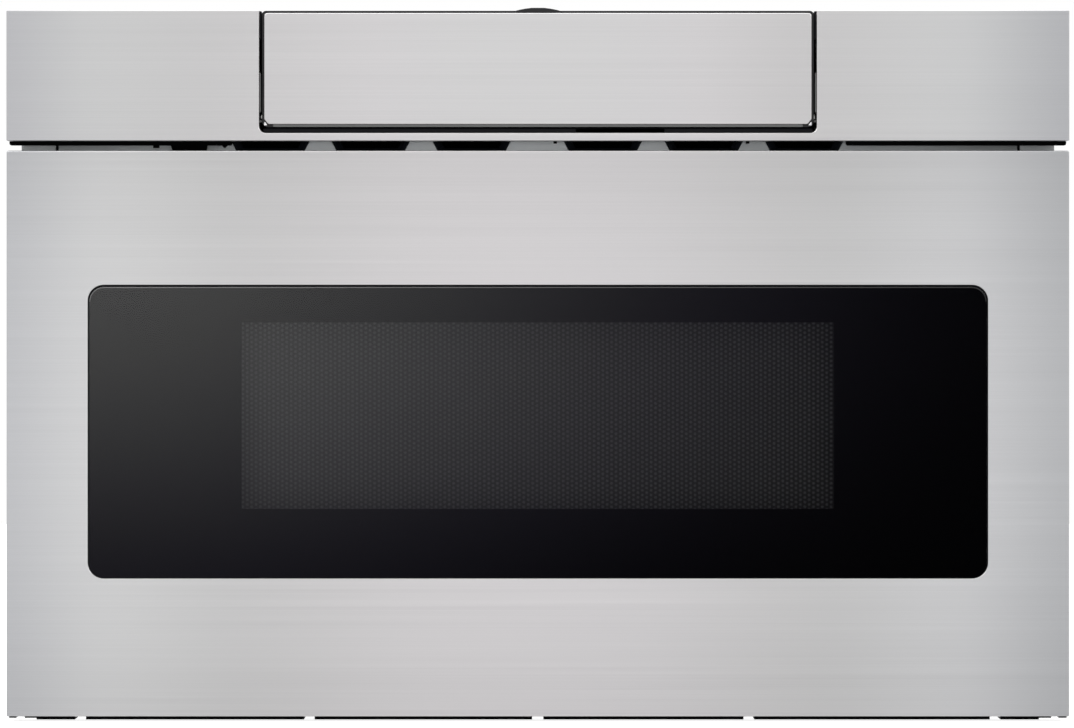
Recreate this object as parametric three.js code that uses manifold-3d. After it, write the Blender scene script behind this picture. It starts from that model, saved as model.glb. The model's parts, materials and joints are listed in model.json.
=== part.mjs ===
// Built-in microwave drawer, millimetres, +Z up, +X to the right seen from the front, front facing -Y.
// The origin is under the middle of the whole unit, at the height of the lowest edge of the drawer front.
import * as THREE from "three";
import { mergeVertices } from "three/addons/utils/BufferGeometryUtils.js";
import Module from "manifold-3d";

const wasm = await Module();
wasm.setup();

// ---- driving dimensions ----
const FRONT_Y = -295.3; // outer face of the stainless front
const BACK_Y = 295.3; // outer face of the back panel
const FRONT_HALF_W = 303.2; // half the width of the fascia
const DRAWER_HALF_W = 303.1; // half the width of the drawer front
const SHEET = 1.0; // stainless skin thickness
const SKIN_DEPTH = 22; // depth of the folded returns of the skins
const FASCIA_BOTTOM = 330.3;
const FASCIA_TOP = 404.5;
const CUT_HALF_W = 159.0; // opening in the fascia for the flap
const CUT_BOTTOM = 334.7;
const CUT_R = 3.7;
const FLAP_HALF_W = 156.2;
const FLAP_BOTTOM = 339.6;
const FLAP_TOP = 403.2;
const HINGE_Y = -288.0; // axis of the flap's hinge rod
const HINGE_Z = 344.0;
const DRAWER_BOTTOM = 1.7;
const DRAWER_TOP = 324.6;
const WINDOW_HALF_W = 256.7;
const WINDOW_BOTTOM = 80.4;
const WINDOW_TOP = 248.0;
const WINDOW_R = 9.1;
const FRAME_Y0 = -266.8; // front face of the sheet-metal face plate
const FRAME_Y1 = -265.3; // its rear face, which meets the cabinet
const SIDE_X = 277.2; // outer face of the side panels
const SIDE_T = 1.2;
const BASE_Z = 17.1; // underside of the chassis
const TOP_Z = 388.1; // top of the chassis
const CAV_T = 0.8; // sheet thickness of the oven cavity
const CAV_HALF_W = 228.7; // inside half-width of the oven cavity
const CAV_FLOOR = 61.6;
const CAV_CEIL = 290.7;
const CAV_REAR = 172.7;
const TUB_HALF_W = 220.0; // inside half-width of the drawer tub
const TUB_FLOOR = 85.0; // top of the ceramic plate
const TUB_TOP = 266.0;
const TUB_REAR = 158.3;
const TUB_T = 1.0; // sheet thickness of the drawer tub
const SLIDE_Z = 120.0; // centre height of the telescopic slides
const GEAR_MODULE = 2.0;
const PINION_TEETH = 14;
const PINION_R = (GEAR_MODULE * PINION_TEETH) / 2; // pitch radius, 14 mm
const PINION_Y = -225.0;
const RACK_PITCH_Z = 78.0;
const PINION_Z = RACK_PITCH_Z - PINION_R;
const STIR_Y = -40.0;
const FAN_X = 150.0;
const FAN_Z = 240.0;

// ---- finishes ----
const finish = (color, roughness, metalness) =>
  new THREE.MeshStandardMaterial({ color, roughness, metalness });
const stainless = () => finish(0xc9c8c6, 0.32, 1);
const galvanised = () => finish(0xa9adb0, 0.45, 1);
const darkPlastic = () => finish(0x141415, 0.45, 0);
const blackGlass = () => finish(0x050506, 0.05, 0);
const cavityPaint = () => finish(0x8f9294, 0.5, 0);
const board = () => finish(0x2f5d3a, 0.6, 0);
const steel = () => finish(0x8c8f92, 0.35, 1);

// ---- shape helpers ----
function solidOf(geometry) {
  const g = geometry.clone();
  g.deleteAttribute("normal");
  g.deleteAttribute("uv");
  const m = mergeVertices(g, 1e-4);
  return new wasm.Manifold(
    new wasm.Mesh({
      numProp: 3,
      vertProperties: new Float32Array(m.attributes.position.array),
      triVerts: new Uint32Array(m.index.array),
    }),
  );
}

function block(x0, x1, y0, y1, z0, z1) {
  return solidOf(
    new THREE.BoxGeometry(x1 - x0, y1 - y0, z1 - z0).translate(
      (x0 + x1) / 2,
      (y0 + y1) / 2,
      (z0 + z1) / 2,
    ),
  );
}

// Cylinder along one axis from a to b, centred on the two other coordinates.
function rod(axis, r, a, b, u, v, sides = 16) {
  const g = new THREE.CylinderGeometry(r, r, b - a, sides);
  const mid = (a + b) / 2;
  if (axis === "x") g.rotateZ(Math.PI / 2).translate(mid, u, v);
  if (axis === "y") g.translate(u, mid, v);
  if (axis === "z") g.rotateX(Math.PI / 2).translate(u, v, mid);
  return solidOf(g);
}

function prism(shape, depth) {
  return new THREE.ExtrudeGeometry(shape, {
    depth,
    bevelEnabled: false,
    curveSegments: 4,
  });
}
// A shape drawn in X and Z, from y0 to y1.
const alongY = (shape, y0, y1) =>
  solidOf(prism(shape, y1 - y0).rotateX(Math.PI / 2).translate(0, y1, 0));
// A shape drawn in Y and Z, from x0 to x1.
const YZ = new THREE.Matrix4().set(0, 0, 1, 0, 1, 0, 0, 0, 0, 1, 0, 0, 0, 0, 0, 1);
const alongX = (shape, x0, x1) =>
  solidOf(prism(shape, x1 - x0).applyMatrix4(YZ).translate(x0, 0, 0));
const alongZ = (shape, z0, z1) =>
  solidOf(prism(shape, z1 - z0).translate(0, 0, z0));

function polygon(points) {
  const s = new THREE.Shape();
  points.forEach(([x, y], i) => (i ? s.lineTo(x, y) : s.moveTo(x, y)));
  s.closePath();
  return s;
}

function roundedRect(x0, x1, y0, y1, r) {
  const s = new THREE.Shape();
  s.moveTo(x0 + r, y0);
  s.lineTo(x1 - r, y0);
  s.absarc(x1 - r, y0 + r, r, -Math.PI / 2, 0, false);
  s.lineTo(x1, y1 - r);
  s.absarc(x1 - r, y1 - r, r, 0, Math.PI / 2, false);
  s.lineTo(x0 + r, y1);
  s.absarc(x0 + r, y1 - r, r, Math.PI / 2, Math.PI, false);
  s.lineTo(x0, y0 + r);
  s.absarc(x0 + r, y0 + r, r, Math.PI, 1.5 * Math.PI, false);
  return s;
}

function join(...solids) {
  return solids.reduce((a, b) => a.add(b));
}
function cut(a, ...tools) {
  return tools.reduce((s, t) => s.subtract(t), a);
}

const unit = new THREE.Group();
function section(x = 0, y = 0, z = 0, parent = unit) {
  const g = new THREE.Group();
  g.position.set(x, y, z);
  parent.add(g);
  return g;
}

// Adds a solid, drawn in the unit's own frame, as a named mesh placed inside its group.
function piece(group, name, solid, material) {
  const m = solid.getMesh();
  const g = new THREE.BufferGeometry();
  const p = Float32Array.from(m.vertProperties);
  const o = group.position;
  for (let i = 0; i < p.length; i += 3) {
    p[i] -= o.x;
    p[i + 1] -= o.y;
    p[i + 2] -= o.z;
  }
  g.setAttribute("position", new THREE.BufferAttribute(p, 3));
  g.setIndex(new THREE.BufferAttribute(Uint32Array.from(m.triVerts), 1));
  g.computeVertexNormals();
  const mesh = new THREE.Mesh(g, material);
  mesh.name = name;
  group.add(mesh);
  return mesh;
}

// ================= chassis =================
const chassis = section();

piece(
  chassis,
  "base_plate",
  block(-SIDE_X, SIDE_X, -265, 293.7, BASE_Z, 18.6),
  galvanised(),
);

function sidePanel(sign) {
  let s = block(SIDE_X - SIDE_T, SIDE_X, -265, 293.7, 18.9, 386.6);
  // Cooling slots near the rear, in two rows.
  for (let i = 0; i < 6; i++)
    for (const z of [80, 140])
      s = s.subtract(
        block(SIDE_X - 3, SIDE_X + 3, 196 + i * 14, 200 + i * 14, z, z + 40),
      );
  return sign > 0 ? s : s.mirror([1, 0, 0]);
}
piece(chassis, "right_side_panel", sidePanel(1), galvanised());
piece(chassis, "left_side_panel", sidePanel(-1), galvanised());

let cover = block(-SIDE_X, SIDE_X, -265, 293.7, 386.9, TOP_Z);
for (let i = 0; i < 7; i++)
  cover = cover.subtract(
    block(-196 + i * 14, -192 + i * 14, 214, 258, 380, 395),
  );
piece(chassis, "top_cover", cover, galvanised());

let back = block(-SIDE_X, SIDE_X, 294, BACK_Y, BASE_Z, TOP_Z);
// Fan grille: rings of curved slots around the fan's axis.
for (const [r0, r1] of [
  [14, 22],
  [27, 35],
  [40, 48],
])
  for (let k = 0; k < 4; k++) {
    const a0 = (k * Math.PI) / 2 + 0.14;
    const a1 = ((k + 1) * Math.PI) / 2 - 0.14;
    const n = 6;
    const pts = [];
    for (let i = 0; i <= n; i++) {
      const a = a0 + ((a1 - a0) * i) / n;
      pts.push([FAN_X + r1 * Math.cos(a), FAN_Z + r1 * Math.sin(a)]);
    }
    for (let i = n; i >= 0; i--) {
      const a = a0 + ((a1 - a0) * i) / n;
      pts.push([FAN_X + r0 * Math.cos(a), FAN_Z + r0 * Math.sin(a)]);
    }
    back = back.subtract(alongY(polygon(pts), 290, 300));
  }
back = cut(back, rod("y", 9.3, 290, 300, -205, 62, 20));
for (let i = 0; i < 6; i++)
  back = back.subtract(block(-150 + i * 14, -146 + i * 14, 290, 300, 300, 345));
piece(chassis, "back_panel", back, galvanised());

function flange(sign) {
  let s = join(
    block(SIDE_X + 0.4, 297.3, FRAME_Y0, FRAME_Y1, 20, 385),
    block(SIDE_X + 0.4, SIDE_X + 1.6, FRAME_Y1 - 0.1, -245, 20, 385),
  );
  for (const z of [60, 202, 345]) s = s.subtract(rod("y", 2.6, -270, -262, 288.5, z, 12));
  return sign > 0 ? s : s.mirror([1, 0, 0]);
}
piece(chassis, "mounting_flange_right", flange(1), galvanised());
piece(chassis, "mounting_flange_left", flange(-1), galvanised());

// Upper face plate with six boat-shaped vent openings and the latch slot.
let vents = block(-276, 276, FRAME_Y0, FRAME_Y1, 300, 386.6);
for (const x of [-154, -96, -38, 38, 96, 154])
  vents = vents.subtract(
    alongY(
      polygon([
        [x - 18.3, 323],
        [x + 18.3, 323],
        [x + 25.1, 336],
        [x + 25.1, 341],
        [x - 25.1, 341],
        [x - 25.1, 336],
      ]),
      -270,
      -260,
    ),
  );
vents = vents.subtract(block(200, 214, -270, -260, 301.5, 314.5));
piece(chassis, "vent_panel", vents, galvanised());

piece(
  chassis,
  "front_frame_left",
  cut(
    block(-276, -CAV_HALF_W - CAV_T - 0.3, FRAME_Y0, FRAME_Y1, 18.9, 299.7),
    block(-273.5, -257.5, -270, -260, 70, 145),
  ),
  galvanised(),
);
piece(
  chassis,
  "front_frame_right",
  cut(
    block(CAV_HALF_W + CAV_T + 0.3, 276, FRAME_Y0, FRAME_Y1, 18.9, 299.7),
    block(257.5, 273.5, -270, -260, 95, 145),
  ),
  galvanised(),
);
piece(
  chassis,
  "front_frame_sill",
  join(
    block(-229.5, 229.5, FRAME_Y0, FRAME_Y1, 18.9, 60.5),
    block(-229.5, 229.5, FRAME_Y1 - 0.1, -253, 59.3, 60.5),
  ),
  galvanised(),
);

// ---- stainless fascia and its plastic backing ----
function uShape(halfW, z0, z1, cutHalf, cutZ, r) {
  const s = new THREE.Shape();
  s.moveTo(-halfW, z0);
  s.lineTo(halfW, z0);
  s.lineTo(halfW, z1);
  s.lineTo(cutHalf, z1);
  s.lineTo(cutHalf, cutZ + r);
  s.absarc(cutHalf - r, cutZ + r, r, 0, -Math.PI / 2, true);
  s.lineTo(-cutHalf + r, cutZ);
  s.absarc(-cutHalf + r, cutZ + r, r, -Math.PI / 2, -Math.PI, true);
  s.lineTo(-cutHalf, z1);
  s.lineTo(-halfW, z1);
  s.closePath();
  return s;
}
const hingeHole = (r) => rod("x", r, -200, 200, HINGE_Y, HINGE_Z, 16);
let fascia = cut(
  alongY(
    uShape(FRONT_HALF_W, FASCIA_BOTTOM, FASCIA_TOP, CUT_HALF_W, CUT_BOTTOM, CUT_R),
    FRONT_Y,
    FRONT_Y + SKIN_DEPTH,
  ),
  alongY(
    uShape(
      FRONT_HALF_W - SHEET,
      FASCIA_BOTTOM + SHEET,
      FASCIA_TOP - SHEET,
      CUT_HALF_W + SHEET,
      CUT_BOTTOM - SHEET,
      CUT_R + SHEET,
    ),
    FRONT_Y + SHEET,
    -260,
  ),
  block(-310, 310, -287.3, -260, 325, FASCIA_BOTTOM + SHEET + 0.1),
  hingeHole(2.3),
);
piece(chassis, "fascia_skin", fascia, stainless());

const backW = FRONT_HALF_W - SHEET - 0.3;
let backing = alongY(
  uShape(
    backW,
    FASCIA_BOTTOM + SHEET + 0.3,
    FASCIA_TOP - SHEET - 0.3,
    CUT_HALF_W + SHEET + 0.3,
    CUT_BOTTOM - SHEET - 0.3,
    CUT_R + SHEET + 0.3,
  ),
  FRONT_Y + SHEET + 0.3,
  FRAME_Y0 - 0.3,
);
// Each wing is a shell, open to the rear.
for (const s of [-1, 1]) {
  const [x0, x1] = s > 0 ? [163.2, 299] : [-299, -163.2];
  backing = backing.subtract(block(x0, x1, -291, -260, 334.5, 400.4));
}
// Rear wall behind the flap, and the lips that show below the stainless, with the locating tabs on the left one.
const LIP_Y0 = -286.9;
const LIP_Y1 = -284.1;
const LIP_BOTTOM = 327.8;
const LIP_MAX_X = 301.9; // above the stainless edge the lip stands inside the side returns
function lowerLip(x0, x1, r0, r1) {
  const s = new THREE.Shape();
  s.moveTo(Math.max(x0, -LIP_MAX_X), 332);
  s.lineTo(Math.max(x0, -LIP_MAX_X), 330);
  s.lineTo(x0, 329.99);
  s.lineTo(x0, LIP_BOTTOM + r0);
  s.quadraticCurveTo(x0, LIP_BOTTOM, x0 + r0, LIP_BOTTOM);
  s.lineTo(x1 - r1, LIP_BOTTOM);
  s.quadraticCurveTo(x1, LIP_BOTTOM, x1, LIP_BOTTOM + r1);
  s.lineTo(x1, 329.99);
  s.lineTo(Math.min(x1, LIP_MAX_X), 330);
  s.lineTo(Math.min(x1, LIP_MAX_X), 332);
  s.closePath();
  return alongY(s, LIP_Y0, LIP_Y1);
}
backing = join(
  backing,
  block(-161, 161, -268.6, -267.1, 332, 400),
  lowerLip(-302.3, -174.9, 1.4, 1.3),
  lowerLip(176.2, 302.2, 1.2, 1.4),
  alongY(
    polygon([
      [-210.2, 328.3],
      [-209.0, 325.0],
      [-189.6, 325.0],
      [-188.9, 328.3],
    ]),
    LIP_Y0,
    LIP_Y1,
  ),
  block(-220.1, -216.6, LIP_Y0, LIP_Y1, 326.4, 328.3),
  alongY(
    polygon([
      [-181.2, 328.3],
      [-179.6, 326.5],
      [-178.8, 326.5],
      [-177.2, 328.3],
    ]),
    LIP_Y0,
    LIP_Y1,
  ),
  block(8.9, 10.9, LIP_Y0, LIP_Y1, 328.9, 332),
  block(119, 121, LIP_Y0, LIP_Y1, 328.9, 332),
);
backing = cut(backing, hingeHole(1.95));
piece(chassis, "fascia_backing", backing, darkPlastic());

// ---- oven cavity ----
const CW = CAV_HALF_W + CAV_T;
piece(
  chassis,
  "cavity_ceiling",
  cut(
    block(-CW, CW, -265, CAV_REAR - 0.3, CAV_CEIL, CAV_CEIL + CAV_T),
    rod("z", 14, 285, 295, 0, STIR_Y, 20),
  ),
  cavityPaint(),
);
piece(
  chassis,
  "cavity_left_wall",
  block(-CW, -CAV_HALF_W, -265, CAV_REAR - 0.3, CAV_FLOOR + 0.3, CAV_CEIL - 0.3),
  cavityPaint(),
);
piece(
  chassis,
  "cavity_right_wall",
  cut(
    block(CAV_HALF_W, CW, -265, CAV_REAR - 0.3, CAV_FLOOR + 0.3, CAV_CEIL - 0.3),
    rod("x", 12, 220, 235, 0, 232, 20),
  ),
  cavityPaint(),
);
piece(
  chassis,
  "cavity_floor",
  block(-CW, CW, -265, CAV_REAR - 0.3, CAV_FLOOR - CAV_T, CAV_FLOOR),
  cavityPaint(),
);
piece(
  chassis,
  "cavity_rear_wall",
  block(-CW, CW, CAV_REAR, CAV_REAR + CAV_T, CAV_FLOOR - CAV_T, CAV_CEIL + CAV_T),
  cavityPaint(),
);
piece(
  chassis,
  "stirrer_cover",
  cut(
    alongZ(roundedRect(-112, 112, STIR_Y - 112, STIR_Y + 112, 14), 268.5, 290.4),
    alongZ(roundedRect(-110, 110, STIR_Y - 110, STIR_Y + 110, 12), 270.3, 295),
  ),
  finish(0xd8d3c4, 0.6, 0),
);

// ---- microwave system ----
piece(
  chassis,
  "waveguide",
  cut(
    block(-42, 42, -80, 255, 291.8, 325),
    block(-40.5, 40.5, -78.5, 253.5, 280, 323.5),
    rod("z", 4, 320, 330, 0, STIR_Y, 12),
  ),
  steel(),
);
let fins = rod("z", 19, 218.5, 290, 0, 215, 20);
for (let i = 0; i < 6; i++)
  fins = fins.add(block(-39, 39, 186, 244, 226 + i * 9.4, 227.2 + i * 9.4));
piece(
  chassis,
  "magnetron",
  join(
    fins,
    block(-40, 40, 185, 245, 216, 219),
    block(-40, 40, 185, 245, 288, 291.4),
    block(-40, -38.4, 185, 245, 216, 291.4),
    block(38.4, 40, 185, 245, 216, 291.4),
    rod("z", 8, 291, 313, 0, 215, 16),
    block(-22, 22, 192, 238, 196, 217),
  ),
  steel(),
);
piece(
  chassis,
  "thermal_cutout",
  join(
    rod("z", 8, 325.3, 331, 0, 200, 16),
    block(-11, 11, 197, 203, 325.3, 327),
    block(-4.5, -3, 198, 202, 330, 338),
    block(3, 4.5, 198, 202, 330, 338),
  ),
  darkPlastic(),
);
piece(
  chassis,
  "stirrer_motor",
  join(
    rod("z", 24, 325.3, 342, 0, STIR_Y, 24),
    block(-34, 34, STIR_Y - 6, STIR_Y + 6, 325.3, 327),
    block(-9, 9, STIR_Y + 20, STIR_Y + 36, 328, 340),
  ),
  steel(),
);
piece(
  chassis,
  "hv_transformer",
  join(
    block(-155, -65, 205, 245, 24, 94),
    block(-140, -80, 188, 262, 38, 80),
    block(-162, -58, 200, 250, 18.9, 24.5),
  ),
  finish(0x6a4a32, 0.5, 0.4),
);
piece(
  chassis,
  "hv_capacitor",
  join(
    alongZ(roundedRect(60, 112, 202, 236, 16), 18.9, 112),
    rod("z", 4, 111, 122, 74, 219, 12),
    rod("z", 4, 111, 122, 98, 219, 12),
  ),
  finish(0xaab0b4, 0.4, 0.9),
);

// ---- control electronics above the cavity ----
function circuit(x0, x1, y0, y1, parts) {
  let s = block(x0, x1, y0, y1, 300, 301.6);
  for (const x of [x0 + 6, x1 - 6])
    for (const y of [y0 + 6, y1 - 6])
      s = s.add(rod("z", 3, 291.9, 300.5, x, y, 10));
  for (const p of parts) s = s.add(block(...p));
  return s;
}
piece(
  chassis,
  "power_board",
  circuit(-222, -62, -60, 150, [
    [-205, -165, 80, 125, 301, 336],
    [-150, -128, 90, 112, 301, 320],
    [-120, -98, 90, 112, 301, 320],
    [-90, -76, -40, 60, 301, 312],
    [-205, -190, -40, 20, 301, 308],
    [-170, -140, -30, 0, 301, 305],
  ]),
  board(),
);
piece(
  chassis,
  "noise_filter_board",
  circuit(72, 198, 60, 150, [
    [84, 118, 76, 110, 301, 330],
    [130, 160, 76, 90, 301, 322],
    [130, 160, 104, 118, 301, 322],
    [170, 190, 80, 130, 301, 314],
  ]),
  board(),
);
piece(
  chassis,
  "exhaust_duct",
  cut(
    block(-186, 186, -265, -92, 297, 352),
    block(-185, 185, -270, -85, 298, 351),
  ),
  galvanised(),
);

// ---- cooling fan ----
piece(
  chassis,
  "fan_shroud",
  cut(
    block(FAN_X - 58, FAN_X + 58, 250, 293.7, FAN_Z - 58, FAN_Z + 58),
    rod("y", 54, 240, 300, FAN_X, FAN_Z, 32),
  ),
  darkPlastic(),
);
piece(
  chassis,
  "fan_motor",
  cut(
    join(
      rod("y", 18, 214, 248, FAN_X, FAN_Z, 20),
      block(FAN_X - 58, FAN_X + 58, 244.5, 249.5, FAN_Z - 5, FAN_Z + 5),
      block(FAN_X - 5, FAN_X + 5, 244.5, 249.5, FAN_Z - 58, FAN_Z + 58),
    ),
    rod("y", 3.6, 238, 255, FAN_X, FAN_Z, 12),
  ),
  steel(),
);

// ---- small electrical parts ----
piece(
  chassis,
  "oven_lamp",
  join(
    block(230.2, 252, -20, 20, 212, 252),
    rod("x", 10, 225.5, 231, 0, 232, 16),
  ),
  finish(0xe9e4d2, 0.3, 0),
);
piece(
  chassis,
  "cord_inlet",
  cut(
    join(
      rod("y", 9, 288, 296.2 - 1, -205, 62, 20),
      rod("y", 12.5, 286, 293.7, -205, 62, 20),
    ),
    rod("y", 4.6, 280, 300, -205, 62, 16),
  ),
  darkPlastic(),
);
piece(
  chassis,
  "interlock_switch",
  cut(
    block(191, 223, -262, -222, 298, 330),
    block(199.5, 214.5, -265, -238, 290, 315),
  ),
  darkPlastic(),
);
piece(
  chassis,
  "drawer_motor",
  cut(
    join(
      block(-257.7, -233, -250, -200, 40, 88),
      rod("y", 12, -200.5, -132, -245.3, 58, 20),
      block(-251, -239, -243, -207, 18.9, 41),
    ),
    rod("x", 4.35, -262, -240, PINION_Y, PINION_Z, 24),
  ),
  darkPlastic(),
);

// ---- telescopic slides: three nested channels on each side ----
// A channel opening towards the middle of the unit, web outside, drawn on the right-hand side.
function channel(x0, x1, halfH, t, y0, y1) {
  return cut(
    block(x0, x1, y0, y1, SLIDE_Z - halfH, SLIDE_Z + halfH),
    block(x0 - 5, x1 - t, y0 - 5, y1 + 5, SLIDE_Z - halfH + t, SLIDE_Z + halfH - t),
  );
}
const outerSlide = () =>
  join(
    channel(259.5, 272, 23, 1.2, -262, 160),
    block(271.5, 275.7, -240, -215, SLIDE_Z - 14, SLIDE_Z + 14),
    block(271.5, 275.7, 110, 135, SLIDE_Z - 14, SLIDE_Z + 14),
  );
const middleSlide = () => channel(260.5, 268, 19.2, 1.2, -262, 150);
const innerSlide = () =>
  join(
    channel(260.5, 264.2, 15.2, 1.2, -271.7, 150),
    block(258.5, 272, -271.7, -269.4, SLIDE_Z - 20, SLIDE_Z + 20),
  );
piece(chassis, "slide_outer_right", outerSlide(), steel());
piece(chassis, "slide_outer_left", outerSlide().mirror([1, 0, 0]), steel());
const middleRight = section();
piece(middleRight, "slide_middle_right", middleSlide(), steel());
const middleLeft = section();
piece(middleLeft, "slide_middle_left", middleSlide().mirror([1, 0, 0]), steel());

// ================= stirrer =================
const stirrer = section(0, STIR_Y, 280);
let paddles = join(
  rod("z", 2.6, 277, 324.9, 0, STIR_Y, 12),
  rod("z", 9, 277, 288.5, 0, STIR_Y, 16),
);
for (let k = 0; k < 4; k++) {
  const g = new THREE.BoxGeometry(78, 26, 1.2)
    .rotateX(0.2)
    .translate(45, 0, 282)
    .rotateZ((k * Math.PI) / 2)
    .translate(0, STIR_Y, 0);
  paddles = paddles.add(solidOf(g));
}
piece(stirrer, "stirrer_antenna", paddles, finish(0xb8bcc0, 0.3, 1));

// ================= cooling fan =================
const fan = section(FAN_X, 262, FAN_Z);
let impeller = join(
  rod("y", 15, 256, 276, FAN_X, FAN_Z, 20),
  rod("y", 3, 241, 257, FAN_X, FAN_Z, 12),
);
for (let k = 0; k < 5; k++) {
  const g = new THREE.BoxGeometry(38, 1.8, 26)
    .rotateX(0.62)
    .translate(31, 0, 0)
    .rotateY((k * 2 * Math.PI) / 5)
    .translate(FAN_X, 266, FAN_Z);
  impeller = impeller.add(solidOf(g));
}
piece(fan, "cooling_fan", impeller, darkPlastic());

// ================= drive pinion =================
// Involute teeth, 20 degree pressure angle, short addendum and backlash.
function pinionShape() {
  const z = PINION_TEETH;
  const rb = PINION_R * Math.cos(Math.PI / 9);
  const ra = PINION_R + 0.8 * GEAR_MODULE;
  const rf = PINION_R - 1.15 * GEAR_MODULE;
  const inv = (a) => Math.tan(a) - a;
  const half = Math.PI / (2 * z) - 0.25 / PINION_R + inv(Math.PI / 9);
  const pts = [];
  for (let k = 0; k < z; k++) {
    const c = Math.PI / 2 + (k * 2 * Math.PI) / z;
    const flank = [];
    for (let i = 0; i <= 4; i++) {
      const r = rb + ((ra - rb) * i) / 4;
      const a = Math.acos(Math.min(1, rb / r));
      flank.push([r, half - inv(a)]);
    }
    pts.push([rf, c - half]);
    for (const [r, a] of flank) pts.push([r, c - a]);
    for (const [r, a] of flank.slice().reverse()) pts.push([r, c + a]);
    pts.push([rf, c + half]);
  }
  return polygon(
    pts.map(([r, a]) => [PINION_Y + r * Math.cos(a), PINION_Z + r * Math.sin(a)]),
  );
}
const pinion = section(-265, PINION_Y, PINION_Z);
piece(
  pinion,
  "drive_pinion",
  join(
    alongX(pinionShape(), -271.5, -261.8),
    rod("x", 4, -262, -242, PINION_Y, PINION_Z, 24),
    rod("x", 7, -262, -258.2, PINION_Y, PINION_Z, 16),
  ),
  finish(0xe6e2d6, 0.5, 0),
);

// ================= drawer =================
const drawer = section();
piece(
  drawer,
  "drawer_front_skin",
  cut(
    block(
      -DRAWER_HALF_W,
      DRAWER_HALF_W,
      FRONT_Y,
      FRONT_Y + SKIN_DEPTH,
      DRAWER_BOTTOM,
      DRAWER_TOP,
    ),
    block(
      -DRAWER_HALF_W + SHEET,
      DRAWER_HALF_W - SHEET,
      FRONT_Y + SHEET,
      -260,
      -10,
      DRAWER_TOP - SHEET,
    ),
    alongY(
      roundedRect(-WINDOW_HALF_W, WINDOW_HALF_W, WINDOW_BOTTOM, WINDOW_TOP, WINDOW_R),
      -300,
      -290,
    ),
  ),
  stainless(),
);
let frame = cut(
  join(
    block(-301.8, 301.8, -294, -272, 2.0, 323.3),
    // Lower rail, which runs forward under the edge of the skin.
    block(-286, 285.8, -293.9, -274, 0, 2.3),
    block(-286, 285.8, -294.9, -293.8, 0, 1.4),
    ...[
      [-301.7, -297.7],
      [-292.8, -285.9],
      [285.7, 292.9],
      [297.2, 301.7],
    ].flatMap(([x0, x1]) => [
      block(x0, x1, -293.9, -274, 0.9, 2.3),
      block(x0, x1, -294.9, -293.8, 0.9, 1.4),
    ]),
  ),
  block(-264.4, 264.4, -300, -289.6, 72.6, 255.9),
  block(-250, 250, -295, -270, 87, 241),
  block(-264.2, -257.8, -300, -270, -1, 1.7),
  block(-133.5, -127.4, -300, -270, -1, 1.7),
  block(-3.3, 3.1, -300, -270, -1, 1.7),
  block(117.3, 123.5, -300, -270, -1, 1.7),
  block(257.8, 264.0, -300, -270, -1, 1.7),
);
piece(drawer, "door_frame", frame, darkPlastic());
piece(
  drawer,
  "door_glass",
  alongY(roundedRect(-264, 264, 73, 255.5, 6), -293.9, -289.9),
  blackGlass(),
);
piece(
  drawer,
  "window_screen",
  join(
    block(-249.6, 249.6, -274.3, -273.2, 87.4, 240.6),
    block(-249.6, 249.6, -274.3, -272.3, 87.4, 89.4),
    block(-249.6, 249.6, -274.3, -272.3, 238.6, 240.6),
  ),
  finish(0x3a3b3d, 0.5, 1),
);
piece(
  drawer,
  "choke_cover",
  cut(
    alongY(roundedRect(-250, 250, 46, 303, 8), -271.7, -268.4),
    block(-186, 186, -275, -265, 108, 238),
  ),
  finish(0x77797b, 0.55, 0),
);
piece(
  drawer,
  "drawer_right_side",
  block(TUB_HALF_W, TUB_HALF_W + TUB_T, -268.1, TUB_REAR - 0.3, 72, TUB_TOP),
  cavityPaint(),
);
piece(
  drawer,
  "drawer_left_side",
  block(-TUB_HALF_W - TUB_T, -TUB_HALF_W, -268.1, TUB_REAR - 0.3, 72, TUB_TOP),
  cavityPaint(),
);
piece(
  drawer,
  "drawer_back",
  block(-TUB_HALF_W - TUB_T, TUB_HALF_W + TUB_T, TUB_REAR, TUB_REAR + TUB_T, 72, TUB_TOP),
  cavityPaint(),
);
piece(
  drawer,
  "drawer_floor",
  block(-219.7, 219.7, -268.1, TUB_REAR - 0.3, 78.7, 79.7),
  cavityPaint(),
);
piece(
  drawer,
  "ceramic_floor_plate",
  alongZ(roundedRect(-213, 213, -261, 151, 8), 80, TUB_FLOOR),
  finish(0xdad7cf, 0.25, 0),
);
piece(drawer, "slide_inner_right", innerSlide(), steel());
piece(drawer, "slide_inner_left", innerSlide().mirror([1, 0, 0]), steel());

// Rack: straight teeth facing down, in mesh with the pinion when the drawer is shut.
const PITCH = Math.PI * GEAR_MODULE;
const rackPts = [];
const tipHalf = PITCH / 4 - 0.8 * GEAR_MODULE * Math.tan(Math.PI / 9) - 0.12;
const rootHalf = PITCH / 4 + 1.0 * GEAR_MODULE * Math.tan(Math.PI / 9) - 0.12;
const first = -2;
const last = 61;
rackPts.push([-271.7, 88], [-271.7, RACK_PITCH_Z + 2]);
for (let i = first; i <= last; i++) {
  const y = PINION_Y + (i + 0.5) * PITCH;
  rackPts.push(
    [y - rootHalf, RACK_PITCH_Z + 2],
    [y - tipHalf, RACK_PITCH_Z - 1.6],
    [y + tipHalf, RACK_PITCH_Z - 1.6],
    [y + rootHalf, RACK_PITCH_Z + 2],
  );
}
const rackEnd = PINION_Y + (last + 1.3) * PITCH;
rackPts.push([rackEnd, RACK_PITCH_Z + 2], [rackEnd, 88]);
piece(
  drawer,
  "drive_rack",
  join(
    alongX(polygon(rackPts), -271, -262.6),
    block(-272, -258.5, -271.7, -269.4, 76, 94),
  ),
  finish(0xe6e2d6, 0.5, 0),
);
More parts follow.
